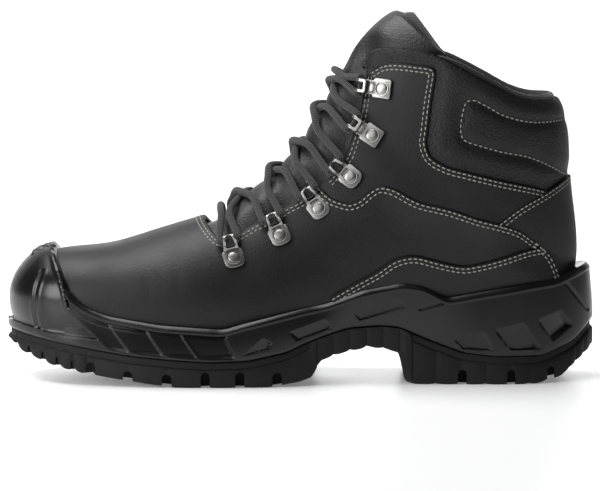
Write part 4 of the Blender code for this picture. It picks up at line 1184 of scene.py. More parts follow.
# Moulded windows of the foxing wall in the side view: the lower edge is the deep one
WINDOWS = (
    ((-28, 17), (-16.5, 19.5), (-15, 22), (-19, 25)),
    ((-5, 28), (-1, 24), (15.5, 29.5), (12.5, 34)),
    ((27, 37.5), (31, 33.5), (53, 40), (50, 44)),
    ((79, 23.5), (84, 18.5), (99, 18), (94, 27)),
    ((100.5, 28), (108.5, 18), (123, 18), (115, 31)),
    ((123, 32.5), (130.5, 22.5), (140, 29), (134.4, 36.5)),
)
# Slanting lines of the foxing wall between the toe cap and the wave, each the edge of a facet: top and bottom
FACETS = (
    ((-123, 46), (-101, 22)),
    ((-101.5, 35.5), (-88, 19)),
    ((-82, 33.2), (-70.5, 17.5)),
    ((-64, 31.2), (-52, 15.2)),
    ((-40, 29.5), (-32.5, 14)),
)
# Fall of a facet, the last one's depth at its start and further fall, and the depth of the rebate that takes
# the toe cap's tail
FACET_FALL = 1.1
LAST_FACET = (0.4, 1.6)
CAP_REBATE = 2.2
# Windows: most depth, depth for their width, softness of their edges and share of the depth at the upper edge
WINDOW_DEPTH = 3.0
WINDOW_SHARE = 0.3
WINDOW_EDGE = 0.8
WINDOW_LIP = 0.1
# Fine grooves of the foxing wall: two ends, half width and depth
GROOVES = (
    ((61, 39), (76, 43.5), 0.8, 0.7),
    ((137, 53), (139.5, 50), 0.8, 0.6),
    ((139.5, 50), (149.5, 36), 0.8, 0.9),
)


def cap_floor(x):
    """Height of the toe cap's foot at x."""
    places = np.array(CAP_FLOOR[::-1], float)
    return np.interp(x, places[:, 0], places[:, 1])


def facet_depth(x, z):
    """Depth of the overlapping facets in front of the wave. Each sinks towards the edge of the next."""
    cuts = [top[0] + (bottom[0] - top[0]) * (top[1] - z) / (top[1] - bottom[1]) for top, bottom in FACETS]
    depth = np.zeros(x.shape)
    for number, (here, following) in enumerate(zip(cuts, cuts[1:])):
        share = (x - here) / np.maximum(following - here, 1.0)
        fall = FACET_FALL * share
        if number == len(cuts) - 2:
            fall = LAST_FACET[0] + LAST_FACET[1] * share
        step = smooth_step(x - here) * smooth_step((following - x) / 1.2)
        depth += np.where((share >= 0) & (share < 1), fall * step, 0.0)
    return depth * smooth_step((z - line(JOINT, x) - 0.8) / 3.0)


def wall_relief(x, z):
    """How deep the foxing wall is sunk at places in the side view."""
    p = np.stack((x, z), axis=-1)
    tail_x, tail_z = np.array(CAP_JOINT, float).T
    tail = np.interp(x, tail_x, tail_z)
    under_cap = smooth_step((tail + 0.6 - z) / 1.2) * smooth_step(z - cap_floor(x) + 1.0)
    under_cap *= (x > tail_x[0]) & (x < tail_x[-1])
    sunk = np.maximum(facet_depth(x, z), CAP_REBATE * under_cap)
    for window in WINDOWS:
        corners = np.array(window, float)
        centre = corners.mean(axis=0)
        gaps = []
        spans = []
        for a, b in zip(corners, np.roll(corners, -1, axis=0)):
            n = np.array((b[1] - a[1], a[0] - b[0])) / np.linalg.norm(b - a)
            n *= np.sign((centre - a) @ n)
            gaps.append((p - a) @ n)
            spans.append((centre - a) @ n)
        within = smooth_step(np.minimum.reduce(gaps) / WINDOW_EDGE + 0.5)
        fall = np.clip(gaps[3] / np.maximum(gaps[3] + gaps[1], 1e-3), 0, 1)
        deep = min(WINDOW_DEPTH, WINDOW_SHARE * (spans[1] + spans[3]))
        sunk += deep * within * (WINDOW_LIP + (1 - WINDOW_LIP) * fall)
    for start, end, half, depth in GROOVES:
        _, away = beside(p, start, end)
        sunk += depth * np.clip(1 - (away / half) ** 2, 0, 1)
    return sunk


# Levels of the bead along the foxing's top: share of its height and inset
BEAD_LEVELS = (
    (0.0, 1.0), (0.08, 0.5), (0.2, 0.1), (0.34, -0.05), (0.44, 0.05), (0.62, 0.55), (0.82, 1.2), (1.0, 2.0),
)
# Bead: most height, share of the wall, where it ends along the foot, and the groove under it
BEAD_HEIGHT = 3.8
BEAD_SHARE = 0.4
BEAD_END = -38.0
BEAD_GROOVE = 0.8
# Wall's foot: inset and its fade up the wall. Wall's belly. Steps of the lip inside the bead: inset and drop
WALL_FOOT = (0.8, 0.03)
WALL_BELLY = 0.25
LIP_STEPS = ((2.6, 0.3), (4.6, 1.8))
# How far the wall is drawn in behind the toe cap, the floor's drop under the upper and its rim's inset
BEHIND_CAP = 4.5
FLOOR_DROP = 0.4
UNDER_INSET = 12.0
# Points of the soles' meshes: levels of the wall and stations round half the sole
WALL_STEPS = 46
ROUND_STATIONS = 560


def sole_angles(count):
    """Angles round half the sole, even along its outline."""
    dense = np.linspace(0, math.pi, 2001)
    run = run_along(np.stack(outline_at(dense, -1, 0.0), axis=-1))
    return np.interp(np.linspace(0, run[-1], count), run, dense)


def ring_faces(rings, around):
    """Quads between closed rings of points."""
    starts = [(i * around, j, (j + 1) % around) for i in range(rings - 1) for j in range(around)]
    return [(k + a, k + b, k + around + b, k + around + a) for k, a, b in starts]


def sole_ring(angle, inward, height):
    """Closed ring of points round the sole. The inset and height are given by station."""
    sides = []
    for side in (-1, 1):
        x, y = outline_at(angle, side, inward)
        sides.append(np.stack((x, y, height), axis=-1))
    return np.vstack((sides[0], sides[1][-2:0:-1]))


def sole_mesh(name, rings):
    """Closed mesh of rings of points round the sole, filled across at both ends."""
    around = len(rings[0])
    faces = ring_faces(len(rings), around)
    for first in (0, (len(rings) - 1) * around):
        pairs = [(first + i, first + (around - i) % around) for i in range(around // 2 + 1)]
        faces += [(a, b, d, c) for (a, c), (b, d) in zip(pairs, pairs[1:])]
    faces = [tuple(dict.fromkeys(f)) for f in faces]
    return mesh_of(name, np.vstack(rings), [f for f in faces if len(f) > 2])


def make_midsole():
    """Moulded cup round the upper: foxing wall with its bead, windows and grooves, and a floor inside."""
    angle = sole_angles(ROUND_STATIONS)
    x = -(LENGTH / 2) * np.cos(angle)
    low = line(JOINT, x) + SEAM_GAP / 2
    rim = line(RIM, x, RIM_EASE)
    lean = line(RIM_INSET, x)
    bead = rim - np.minimum(BEAD_HEIGHT, BEAD_SHARE * (rim - low))
    cap_z = cap_floor(x)
    front = x < CAP_JOINT[0][0]
    rings = []
    beaded = smooth_step((BEAD_END + 2 - x) / 4)
    inset, fade = WALL_FOOT
    for share in np.linspace(0, 1, WALL_STEPS):
        inward = inset * math.exp(-share / fade) - WALL_BELLY * math.sin(math.pi * share)
        inward = inward + BEAD_GROOVE * beaded * smooth_step((share - 0.85) / 0.15)
        rings.append((inward + lean * share, low + share * (bead - low), 1.0))
    for share, inward in BEAD_LEVELS:
        soft = inward if share > 0.5 else inward * (0.1 + 0.9 * beaded)
        rings.append((soft + lean, bead + share * (rim - bead), 0.0))
    rings += [(lean + inward, rim - drop, 0.0) for inward, drop in LIP_STEPS]
    points = [sole_ring(angle, np.full_like(x, UNDER_INSET), low)]
    for inward, height, carved in rings:
        inward = inward + np.where(front & (height > cap_z), BEHIND_CAP, 0.0)
        height = np.where(front, np.minimum(height, cap_z), height)
        points.append(sole_ring(angle, inward + carved * wall_relief(x, height), height))
    inner = []
    dense = np.linspace(0, HEEL_BACK, 300)
    s = section(np.interp(x, section(dense)["end_x"], dense))
    for side, foot in ((-1, s["foot_lateral"]), (1, s["foot_medial"])):
        inner.append(np.stack((s["end_x"], s["centre"] + side * foot, s["end_z"] - FLOOR_DROP), axis=-1))
    points.append(np.vstack((inner[0], inner[1][-2:0:-1])))
    piece("midsole", sole_mesh("midsole", points), "moulded foam", "moulded_foam", "midsole")


# Slots between the outsole's lugs, cut from both edges: place along the foot, width, top and reach
SLOTS = (
    (-140.3, 1.0, 17.5, 4.0),
    (-132.7, 1.0, 15.5, 4.0),
    (-125.0, 1.0, 13.5, 4.0),
    (-117.0, 1.0, 12.0, 4.0),
    (-107.2, 4.6, 12.0, 4.0),
    (-88.0, 5.0, 8.0, 9.0),
    (-68.0, 5.0, 6.8, 9.0),
    (-48.3, 4.6, 8.0, 9.0),
    (-30.7, 4.6, 8.0, 9.0),
    (-11.7, 4.8, 7.4, 9.0),
    (83.2, 4.6, 7.6, 9.0),
    (108.3, 4.2, 7.6, 9.0),
    (129.0, 3.8, 8.6, 7.0),
)
# Channels across the tread: places along the foot, width, depth and half length. Slots end below the floor
CHANNELS = (-98.0, -78.0, -58.0, -39.5, -21.0, 75.5, 102.0)
CHANNEL_SIZE = (4.0, 3.0, 20.0)
BELOW_FLOOR = -5.0
PAST_SIDE = 90.0
# Round ribs of the outsole's wall: start, end, first crown, pitch, depth at the wall and at the tread
RIBS = (
    (-149.0, -109.2, -144.3, 7.8, 1.7, 2.6),
    (-106.0, -20.0, -97.5, 19.7, 0.5, 0.3),
    (9.0, 54.0, 13.0, 8.6, 0.9, 1.2),
    (57.5, 83.2, 64.0, 12.4, 0.8, 0.7),
    (83.2, 108.3, 89.8, 12.3, 0.8, 0.7),
    (108.3, 129.0, 113.6, 10.2, 0.8, 0.7),
    (139.0, 153.0, 141.0, 4.2, 0.9, 0.4),
)
# Lugs: their drop below the outsole's band, the band's step over them, and the flat's inset above and below
LUG_DROP = 3.2
LUG_STEP = 1.3
SOLE_INSET = 9.0


def slot_mesh():
    """All the slots and channels of the tread, with round tops, as one mesh to cut with."""
    points = []
    faces = []
    arc = np.linspace(0, math.pi, 9)

    def groove(x, width, top, low_y, high_y):
        """Adds one slot across the sole, between two places in y."""
        half = width / 2
        crown = [(x - half * math.cos(a), top - half * (1 - math.sin(a))) for a in arc]
        outline = [(x - half, BELOW_FLOOR), *crown, (x + half, BELOW_FLOOR)]
        count = len(outline)
        first = len(points)
        points.extend((px, y, pz) for y in (low_y, high_y) for px, pz in outline)
        faces.append(tuple(range(first, first + count)))
        faces.append(tuple(range(first + count, first + 2 * count)))
        for i in range(count):
            j = (i + 1) % count
            faces.append((first + i, first + j, first + count + j, first + count + i))

    for x, width, top, reach in SLOTS:
        for side in (-1, 1):
            edge = float(outline_at(np.array(math.acos(-x / (LENGTH / 2))), side, 0.0)[1])
            groove(x, width, top, *sorted((edge - side * min(reach, abs(edge) * 0.72), side * PAST_SIDE)))
    width, depth, half = CHANNEL_SIZE
    for x in CHANNELS:
        groove(x, width, float(line(TREAD, x)) + depth, -half, half)
    return mesh_of("slots", points, faces)


def make_outsole():
    """Rubber outsole with toe lugs, forefoot blocks, waist and heel blocks."""
    angle = sole_angles(ROUND_STATIONS)
    x = -(LENGTH / 2) * np.cos(angle)
    top = line(JOINT, x) - SEAM_GAP / 2
    rib = np.zeros(x.shape)
    rise = np.zeros(x.shape)
    for start, end, crown, pitch, depth, foot in RIBS:
        place = (x - crown) / pitch
        gap = 1 - np.sqrt(1 - np.clip(2 * np.abs(place - np.round(place)), 0, 0.97) ** 2)
        gap *= (x > start) & (x < end)
        rib += depth * gap
        rise += foot * gap
    low = np.minimum(line(TREAD, x, 0.8) + rise, top - 3.0)
    lugs = smooth_step((8 - x) / 4) + smooth_step((x - 56) / 3)
    band = 0.3 + LUG_STEP * lugs
    lug = np.maximum(top - 0.8 - LUG_DROP * lugs, low + 1.6)
    levels = (
        (SOLE_INSET, top),
        (band + 1.0, top),
        (band + 0.2, top - 0.25),
        (band, np.maximum(top - 0.7, lug + 0.5)),
        (band, lug + 0.45),
        (0.55 * band + 0.6 * rib, lug + 0.1),
        (0.25 * band + 0.8 * rib, lug - 0.3),
        (rib, lug - 1.1),
        (rib, np.minimum(low + 1.5, lug - 1.2)),
        (rib + 0.3, low + 0.6),
        (rib + 1.2, low),
        (SOLE_INSET, low),
    )
    rings = [sole_ring(angle, inward, height) for inward, height in levels]
    block = placed("block", sole_mesh("block", rings))
    slots = placed("slots", slot_mesh())
    cut = block.modifiers.new("slots", "BOOLEAN")
    cut.operation = "DIFFERENCE"
    cut.object = slots
    mesh = solid_from(block)
    bpy.data.objects.remove(slots)
    mesh.name = "outsole"
    tidy(mesh, SOLE_SHARP)
    piece("outsole", mesh, "rubber", "outsole_rubber", "outsole")


# Footbed: sections at its toe, where its heel starts to round and at its heel, gap to the upper, least half
# width, and inset and height of each of its rings
FOOTBED_SPAN = (0.8, 13.0, 14.4)
FOOTBED_GAP = 3.4
FOOTBED_LEAST = 0.6
FOOTBED_RINGS = ((1.0, SEAM_GAP), (0.0, 1.2), (0.0, 3.6), (0.8, 4.6), (2.4, 4.8), (10.0, 4.3))


def make_insole():
    """Footbed with a rounded edge and a lightly dished heel."""
    first, turn, last = FOOTBED_SPAN
    u = np.concatenate((np.linspace(first, turn, 90), np.linspace(turn, last, 20)[1:]))
    s = section(u)
    toe = np.clip(1 - u / 3.0, 0, 1)
    heel = np.clip((u - turn) / (last - turn), 0, 1)
    x = s["end_x"] + FOOTBED_GAP * (toe - heel)
    rings = []
    for inward, lift in FOOTBED_RINGS:
        sides = []
        for side, foot in ((-1, s["foot_lateral"]), (1, s["foot_medial"])):
            y = s["centre"] + side * np.maximum(foot - FOOTBED_GAP - inward, FOOTBED_LEAST)
            sides.append(np.stack((x + inward * (toe - heel), y, s["end_z"] + lift), axis=-1))
        rings.append(np.vstack((sides[0], sides[1][::-1])))
    around = len(rings[0])
    faces = ring_faces(len(rings), around)
    for first in (0, (len(rings) - 1) * around):
        ring = range(first, first + around)
        faces += strip(ring[: len(u)], ring[: -len(u) - 1 : -1])
    piece("insole", mesh_of("insole", np.vstack(rings), faces), "textile lining", "textile", "insole")


# Tongue: sections of its rows under the throat, then the rows of its top by the middle's place and slope in
# degrees
TONGUE_STEPS = (7.1, 7.6, 7.95, 8.7, 9.4, 10.1, 10.8, 11.5, 12.2, 12.8, 13.9, 15, 16.8, 18.8)
TONGUE_TOP = ((36.5, 181.0, 20.0), (43.0, 186.8, 30.0), (49.5, 190.4, 43.0), (55.5, 191.2, 55.0))
# Half widths at its top and its foot, most half width in the throat, and how far it goes under the throat's
# edges there: wanted and least
TONGUE_HALF = 36.0
TONGUE_FOOT_HALF = 27.2
TONGUE_THROAT_HALF = 34.0
TONGUE_UNDER = (9.0, 5.0)
# Section from which it widens to its top and the sections that this takes
TONGUE_WIDENS = (15.0, 4.0)
# Its swell between the throat's edges, with its distance from them and the width of its slope, and its dip
# under the vamp
TONGUE_SWELL = (3.8, 2.0, 8.0)
TONGUE_DIP = 1.8
# Distance inwards at which its top would shrink to nothing
TONGUE_SHRINK = 40.0
# Its thickness, its gap to the upper, the rounding of its top, the share by which it is thicker there with
# the distances from the top where that starts and in which it is reached, and the points of its mesh
TONGUE_THICK = 5.0
TONGUE_CLEAR = 0.9
TONGUE_ROUND = 5.0
TONGUE_FULLER = (0.5, 48, 34)
TONGUE_ROWS = 150
TONGUE_ACROSS = 49
# Its lining: share of the thickness where it meets the leather, the band that it shows along the top, and the
# rounding of the leather's end there
LINING_SPLIT = 0.1
LINING_BAND = 5.5
LEATHER_ROUND = 2.0
# Its soft rolls: pitch along it, depth in half thicknesses, and the distances from its foot and from its top
# where they fade, each with the length of the fade
ROLL = 21.0
ROLL_DEPTH = 0.35
ROLL_FADES = ((30, 20), (50, 15))


def tongue_face(inward, across):
    """Rows of the tongue's face, from below the vamp to its top, that far inside the form."""
    side = np.where(across < 0, -1.0, 1.0)
    wanted, least = TONGUE_UNDER
    widens, steps = TONGUE_WIDENS
    most, clear, slope = TONGUE_SWELL
    rows = []
    for u in TONGUE_STEPS:
        gap = float(section(u)["gap"])
        half = TONGUE_FOOT_HALF
        if u > THROAT:
            half = max(min(gap + wanted, TONGUE_THROAT_HALF), gap + least)
        half += (TONGUE_HALF - half) * float(smooth_step((u - widens) / steps))
        width = np.abs(across) * half
        here = np.full_like(width, u)
        t = np.maximum(turn_at(here, width, side), RIDGE)
        swell = np.clip((gap - clear - width) / slope, 0, 1) * np.clip(u - THROAT - 0.4, 0, 1)
        dip = np.clip((THROAT + 1.1 - u) / 0.5, 0, 1)
        depth = inward - most * swell + TONGUE_DIP * dip
        rows.append(form(here, t, side) - slopes(here, t, side)[2] * depth[:, None])
    last = np.full_like(across, COLLAR)
    arc = form(last, np.maximum(turn_at(last, np.abs(across) * TONGUE_HALF, side), RIDGE), side)
    fall = np.hypot(arc[:, 0] - SECTIONS[-1][0], arc[:, 2] - SECTIONS[-1][1])
    y = arc[:, 1] * (1 - inward / TONGUE_SHRINK)
    for x, z, degrees in TONGUE_TOP:
        back = math.cos(math.radians(degrees))
        down = math.sin(math.radians(degrees))
        lean = np.array((0.6 + 0.4 * down, 0, -0.5)) * (inward - UPPER_WALL - TONGUE_CLEAR)
        rows.append(np.stack((x + back * fall, y, z - down * fall), axis=-1) + lean)
    return np.stack(rows)


def sheet(name, front, back):
    """Closed mesh between two grids of points."""
    rows, count = front.shape[:2]
    faces = grid_faces(rows, count) + grid_faces(rows, count, rows * count)
    index = np.arange(2 * rows * count).reshape(2, rows, count)
    for where in (np.s_[:, 0, :], np.s_[:, -1, :], np.s_[:, :, 0], np.s_[:, :, -1]):
        faces += strip(*index[where])
    return mesh_of(name, np.vstack((front.reshape(-1, 3), back.reshape(-1, 3))), faces)


def make_tongue():
    """Padded tongue under the throat, with soft rolls between the lace's crossings."""
    across = np.sin(np.linspace(-1, 1, TONGUE_ACROSS) * math.pi / 2)
    outer = tongue_face(UPPER_WALL + TONGUE_CLEAR, across)
    inner = tongue_face(UPPER_WALL + TONGUE_CLEAR + TONGUE_THICK, across)
    run = run_along(outer[:, len(across) // 2])
    at = np.linspace(0, run[-1], TONGUE_ROWS)
    shape = (TONGUE_ROWS, TONGUE_ACROSS, 3)
    outer, inner = (spline(run, face.reshape(len(run), -1), at).reshape(shape) for face in (outer, inner))
    mid = (outer + inner) / 2
    more, start, length = TONGUE_FULLER
    half = (outer - inner) / 2 * (1 + more * smooth_step((at - run[-1] + start) / length))[:, None, None]
    mid -= half - (outer - inner) / 2
    edge = np.sqrt(1 - np.abs(across) ** 5)[None, :, None]
    end = rolled(run[-1] - at, TONGUE_ROUND)[:, None, None]
    (low, low_fade), (high, high_fade) = ROLL_FADES
    roll = np.clip((at - low) / low_fade, 0, 1) * np.clip((run[-1] - high - at) / high_fade, 0, 1)
    roll = (1 + ROLL_DEPTH * (np.cos(2 * math.pi * at / ROLL) - 0.4) * roll)[:, None, None]
    front = mid + half * edge * end * (1 + (roll - 1) * (1 - np.abs(across) ** 2)[None, :, None])
    back = mid - half * edge * end
    split = mid + LINING_SPLIT * half * edge * end
    last = int(np.searchsorted(at, run[-1] - LINING_BAND))
    fade = rolled(at[last] - at[: last + 1], LEATHER_ROUND)[:, None, None]
    under = split[: last + 1]
    leather = under + (front[: last + 1] - under) * fade
    obj = piece("tongue", sheet("tongue", leather, under), "tongue leather", "soft_leather", "tongue")
    obj = piece("tongue_lining", sheet("tongue_lining", split, back), "textile lining", "textile")


def seat(row, side):
    """Frame of a piece of lace hardware, in the boot's millimetres: X towards the lace, Z off the leather."""
    item = dict(zip(HARDWARE_COLUMNS, row))
    uv = on_form(((item["rivet_x"], item["rivet_z"]), (item["end_x"], item["end_z"])))
    side = np.full(2, side)
    normal = Vector(slopes(uv[:, 0], uv[:, 1], side)[2][0])
    rivet, end = (Vector(p) for p in form(uv[:, 0], uv[:, 1], side))
    place = rivet + normal * (item["lift"] + SEAM_GAP)
    ahead = end - place
    ahead = (ahead - normal * ahead.dot(normal)).normalized()
    made = Matrix((ahead, normal.cross(ahead), normal)).transposed().to_4x4()
    made.translation = place
    return made


# Blanks of the lace rings and hooks before they are bent: outline and window, X towards the lace
RING_OUTER = (
    (-5.4, -1.6), (-5.0, -3.3), (-4.2, -4.5), (-3.0, -5.1), (3.2, -5.4), (4.2, -5.0), (4.8, -4.0),
    (10.2, -3.0), (11.8, -2.5), (12.7, -1.4), (13.0, 0.0), (12.7, 1.4), (11.8, 2.5), (10.2, 3.0),
    (4.8, 4.0), (4.2, 5.0), (3.2, 5.4), (-3.0, 5.1), (-4.2, 4.5), (-5.0, 3.3), (-5.4, 1.6),
)
RING_WINDOW = (
    (5.9, -2.3), (9.6, -1.7), (10.5, -1.2), (10.9, 0.0), (10.5, 1.2), (9.6, 1.7), (5.9, 2.3), (5.5, 1.8),
    (5.5, -1.8),
)
RING_ARCH = 4.7
HOOK_OUTER = (
    (-5.0, -4.2), (-4.2, -5.0), (4.4, -5.0), (5.0, -4.4), (5.4, -3.6), (22.0, -3.5), (22.8, -2.7),
    (22.8, 2.7), (22.0, 3.5), (5.4, 3.6), (5.0, 4.4), (4.4, 5.0), (-4.2, 5.0), (-5.0, 4.2),
)
HOOK_WINDOW = (
    (12.6, -1.9), (20.8, -1.9), (21.2, -1.5), (21.2, 1.5), (20.8, 1.9), (12.6, 1.9), (12.2, 1.5),
    (12.2, -1.5),
)
HOOK_BEND = 10.0
HOOK_RADIUS = 2.95
# Sheet steel of the blanks: thickness and rounding. Where the bent part starts and the cuts across it
PLATE = 1.2
PLATE_ROUND = 0.3
BEND_START = 4.8
BEND_STEP = 0.7
# Rivet: skirt by radius and height, radius and rise of its dome, and sides
RIVET_SKIRT = ((3.7, -0.5), (3.9, 0.0), (3.9, 0.25), (3.7, 0.45), (3.4, 0.45), (3.2, 0.1), (3.0, 0.1))
RIVET_DOME = (3.0, 0.6, 0.5)
RIVET_SIDES = 28


def plate(name, loops, depth, bevel):
    """Flat plate of outlines, the later ones holes, with rounded edges, centred on z = 0."""
    curve = bpy.data.curves.new(name, "CURVE")
    curve.dimensions = "2D"
    curve.fill_mode = "BOTH"
    curve.extrude = depth / 2 - bevel
    curve.bevel_depth = bevel
    curve.bevel_resolution = 2
    curve.offset = -bevel
    for loop in loops:
        run = curve.splines.new("POLY")
        run.points.add(len(loop) - 1)
        run.use_cyclic_u = True
        for point, (px, py) in zip(run.points, loop):
            point.co = (px, py, 0, 1)
    return solid_from(placed(name, curve))


def turned(profile, count):
    """Points and faces of a profile of radius and height turned round Z."""
    angle = np.linspace(0, 2 * math.pi, count, endpoint=False)
    points = np.array([(r * math.cos(a), r * math.sin(a), z) for r, z in profile for a in angle])
    faces = ring_faces(len(profile), count)
    faces += [tuple(range(count)), tuple(range((len(profile) - 1) * count, len(profile) * count))]
    return points, faces


def rivet_points(base):
    """Domed rivet head with a rolled skirt, standing on a plate of that height."""
    radius, foot, rise = RIVET_DOME
    dome = [(radius * math.cos(a), foot + rise * math.sin(a)) for a in np.linspace(0, 1.45, 9)]
    return turned([(r, base + z) for r, z in (*RIVET_SKIRT, *dome)], RIVET_SIDES)


def joined(name, meshes, frame_mm):
    """One mesh in metres of meshes in a frame of the boot's millimetres."""
    work = bmesh.new()
    for mesh in meshes:
        work.from_mesh(mesh)
    made = bpy.data.meshes.new(name)
    work.to_mesh(made)
    work.free()
    shift = Matrix.Translation((0, SHIFT * MM, 0)) @ Matrix.Diagonal((MM, MM, MM, 1))
    made.transform(shift @ frame_mm)
    tidy(made, METAL_SHARP)
    return made


def loose_mesh(points, faces):
    """A mesh in plain millimetres."""
    mesh = bpy.data.meshes.new("loose")
    mesh.from_pydata([tuple(p) for p in points], [], faces)
    return mesh


def shaped(name, loops, bend):
    """A plate cut across many times and bent by a function of the place along it and the height in it."""
    work = bmesh.new()
    work.from_mesh(plate(name, loops, PLATE, PLATE_ROUND))
    for x in np.arange(BEND_START, max(px for px, _ in loops[0]), BEND_STEP):
        whole = [*work.verts, *work.edges, *work.faces]
        bmesh.ops.bisect_plane(work, geom=whole, plane_co=(x, 0, 0), plane_no=(1, 0, 0))
    for vertex in work.verts:
        vertex.co.x, vertex.co.z = bend(vertex.co.x, vertex.co.z)
    made = bpy.data.meshes.new(name)
    work.to_mesh(made)
    work.free()
    return made


def ring_bend(x, z):
    """The ring's loop arches off the leather and comes back to it at its end."""
    arch = smooth_step((x - BEND_START) / 2.8) - 0.75 * smooth_step((x - 10.6) / 2.4)
    return x, z + PLATE / 2 + RING_ARCH * float(arch)


def hook_bend(x, z):
    """The hook's strip turns up and back over itself."""
    turn = (x - HOOK_BEND) / HOOK_RADIUS
    mid = PLATE / 2 + HOOK_RADIUS
    if turn <= 0:
        return x, z + PLATE / 2
    if turn < math.pi:
        return HOOK_BEND + (HOOK_RADIUS - z) * math.sin(turn), mid - (HOOK_RADIUS - z) * math.cos(turn)
    return HOOK_BEND - HOOK_RADIUS * (turn - math.pi), mid + HOOK_RADIUS - z


def make_hardware():
    """Closed rings low on the throat and open hooks above them, each with its rivet."""
    rivet = loose_mesh(*rivet_points(PLATE))
    ring = shaped("ring", (RING_OUTER, RING_WINDOW), ring_bend)
    hook = shaped("hook", (HOOK_OUTER, HOOK_WINDOW), hook_bend)
    for side, where in SIDES:
        for kind, blank, rows in (("ring", ring, RINGS), ("hook", hook, HOOKS)):
            for number, row in enumerate(rows, 1):
                name = f"{kind}_{where}_{number}"
                piece(name, joined(name, (blank, rivet), seat(row, side)), "nickel plate", "nickel", name)


# Lace: sides of its tube, step along it, lift off the form, change of lift where one strand crosses under and
# over the other, and that place's width. Then its places between two eyes: first and last share of the way
# and count, and how far inside the eyes they start. Last its way through an eye: along and across, and the
# place along a ring and a hook that holds it
LACE_SIDES = 14
LACE_STEP = 0.9
LACE_LIFT = 2.4
LACE_UNDER = -1.2
LACE_OVER = 2.2
LACE_CROSSING = 0.16
LACE_SPAN = (0.2, 0.8, 5)
LACE_INSIDE = 1.0
LACE_WAY = ((0.9, -4.2), (0.0, -1.6), (0.0, 1.6), (0.9, 4.2))
RING_HOLD = 8.4
HOOK_HOLD = HOOK_BEND + 0.4


def lace_ends():
    """Chart places of the lace ends, from the lowest ring up. They are the same on both sides."""
    rows = [dict(zip(HARDWARE_COLUMNS, row)) for row in RINGS + HOOKS]
    return on_form([(row["end_x"], row["end_z"]) for row in rows])


def crossing(start, end, low):
    """Places of the lace between a lateral and a medial chart place, over the tongue."""
    share = np.linspace(*LACE_SPAN)
    widths = [abs(form(*uv, side)[1]) - LACE_INSIDE for uv, side in ((start, -1.0), (end, 1.0))]
    across = -widths[0] + (widths[0] + widths[1]) * share
    side = np.where(across < 0, -1.0, 1.0)
    u = start[0] + (end[0] - start[0]) * share
    t = np.maximum(turn_at(u, np.abs(across), side), RIDGE)
    bump = wave(share, 1.0, 0.5, LACE_CROSSING)
    lift = LACE_LIFT + (LACE_UNDER if low else LACE_OVER) * bump
    return form(u, t, side) + slopes(u, t, side)[2] * lift[:, None]


def eye(row, side, hook):
    """Places of the lace through a ring or a hook, from its lower to its upper way."""
    made = seat(row, side)
    x, z = (HOOK_HOLD, PLATE / 2 + HOOK_RADIUS) if hook else (RING_HOLD, RING_ARCH / 2)
    return np.array([made @ Vector((x + more, side * y, z)) for more, y in LACE_WAY])


def tube(path, radius, sides):
    """Points and faces of a tube along a path, and the length along it at each ring."""
    ahead = np.gradient(path, axis=0)
    ahead /= np.linalg.norm(ahead, axis=1, keepdims=True)
    up = np.cross(ahead[0], (0.3, 0.2, 1.0))
    rings = []
    run = run_along(path)
    angle = np.linspace(0, 2 * math.pi, sides, endpoint=False)
    for place, way in zip(path, ahead):
        up = up - way * (up @ way)
        up /= np.linalg.norm(up)
        other = np.cross(way, up)
        rings.append(place + radius * (np.cos(angle)[:, None] * up + np.sin(angle)[:, None] * other))
    faces = ring_faces(len(path), sides)
    faces += [tuple(range(sides))[::-1], tuple(range((len(path) - 1) * sides, len(path) * sides))]
    return np.vstack(rings), faces, run


def make_lace():
    """Round lace: a bar over the lowest rings, then two strands that cross up to the top hooks."""
    ends = lace_ends()
    rows = RINGS + HOOKS
    radius = sizes().lace / 2
    strands = []
    for first in (-1.0, 1.0):
        side = first
        places = [eye(rows[0], side, False)]
        for number in range(len(rows) - 1):
            start, end = (ends[number], ends[number + 1]) if side < 0 else (ends[number + 1], ends[number])
            run = crossing(start, end, (number + (side > 0)) % 2 == 0)
            places.append(run if side < 0 else run[::-1])
            side = -side
            places.append(eye(rows[number + 1], side, number + 1 >= len(RINGS)))
        strands.append(np.vstack(places))
    bar = crossing(ends[0], ends[0], True)
    top = crossing(ends[-1], ends[-1], False)
    whole = np.vstack((strands[0][::-1], bar, strands[1]))
    points = []
    faces = []
    along = []
    for path in (whole, np.vstack((strands[1][-1:], top, strands[0][-1:]))):
        tube_points, tube_faces, run = tube(smooth_path(path, LACE_STEP), radius, LACE_SIDES)
        first = len(points)
        points += list(tube_points)
        faces += [tuple(i + first for i in f) for f in tube_faces]
        along += list(run)
    mesh = bpy.data.meshes.new("lace")
    mesh.from_pydata(metres(points), [], faces)
    layer = mesh.uv_layers.new(name="braid")
    around, pitch, _ = BRAID
    for polygon in mesh.polygons:
        turns = [v % LACE_SIDES for v in polygon.vertices]
        wraps = max(turns) - min(turns) > LACE_SIDES / 2
        for loop, vertex, turn in zip(polygon.loop_indices, polygon.vertices, turns):
            turn = turn + LACE_SIDES if wraps and turn < LACE_SIDES / 2 else turn
            layer.data[loop].uv = (turn / LACE_SIDES * around, along[vertex // LACE_SIDES] / pitch)
    mesh.shade_smooth()
    piece("lace", mesh, "braided lace", "cord", "lace")


# Stitches: height off the leather, extra margin along the throat, and the gaps in u that the throat's rows
# leave before and after the vamp's edge and before the cuff's
STITCH_LIFT = 0.1
THROAT_MARGIN = 0.6
THROAT_GAPS = (0.35, 0.25, 1.0)
THROAT_PLACES = 120


def throat_row(start, end, side, out):
    """Chart path along the throat's edge, that far from it."""
    uv = throat_edge(np.linspace(start, end, THROAT_PLACES), side)
    paths = [moved(uv, side, way * out) for way in (1, -1)]
    return max(paths, key=lambda path: path[THROAT_PLACES // 2, 1])


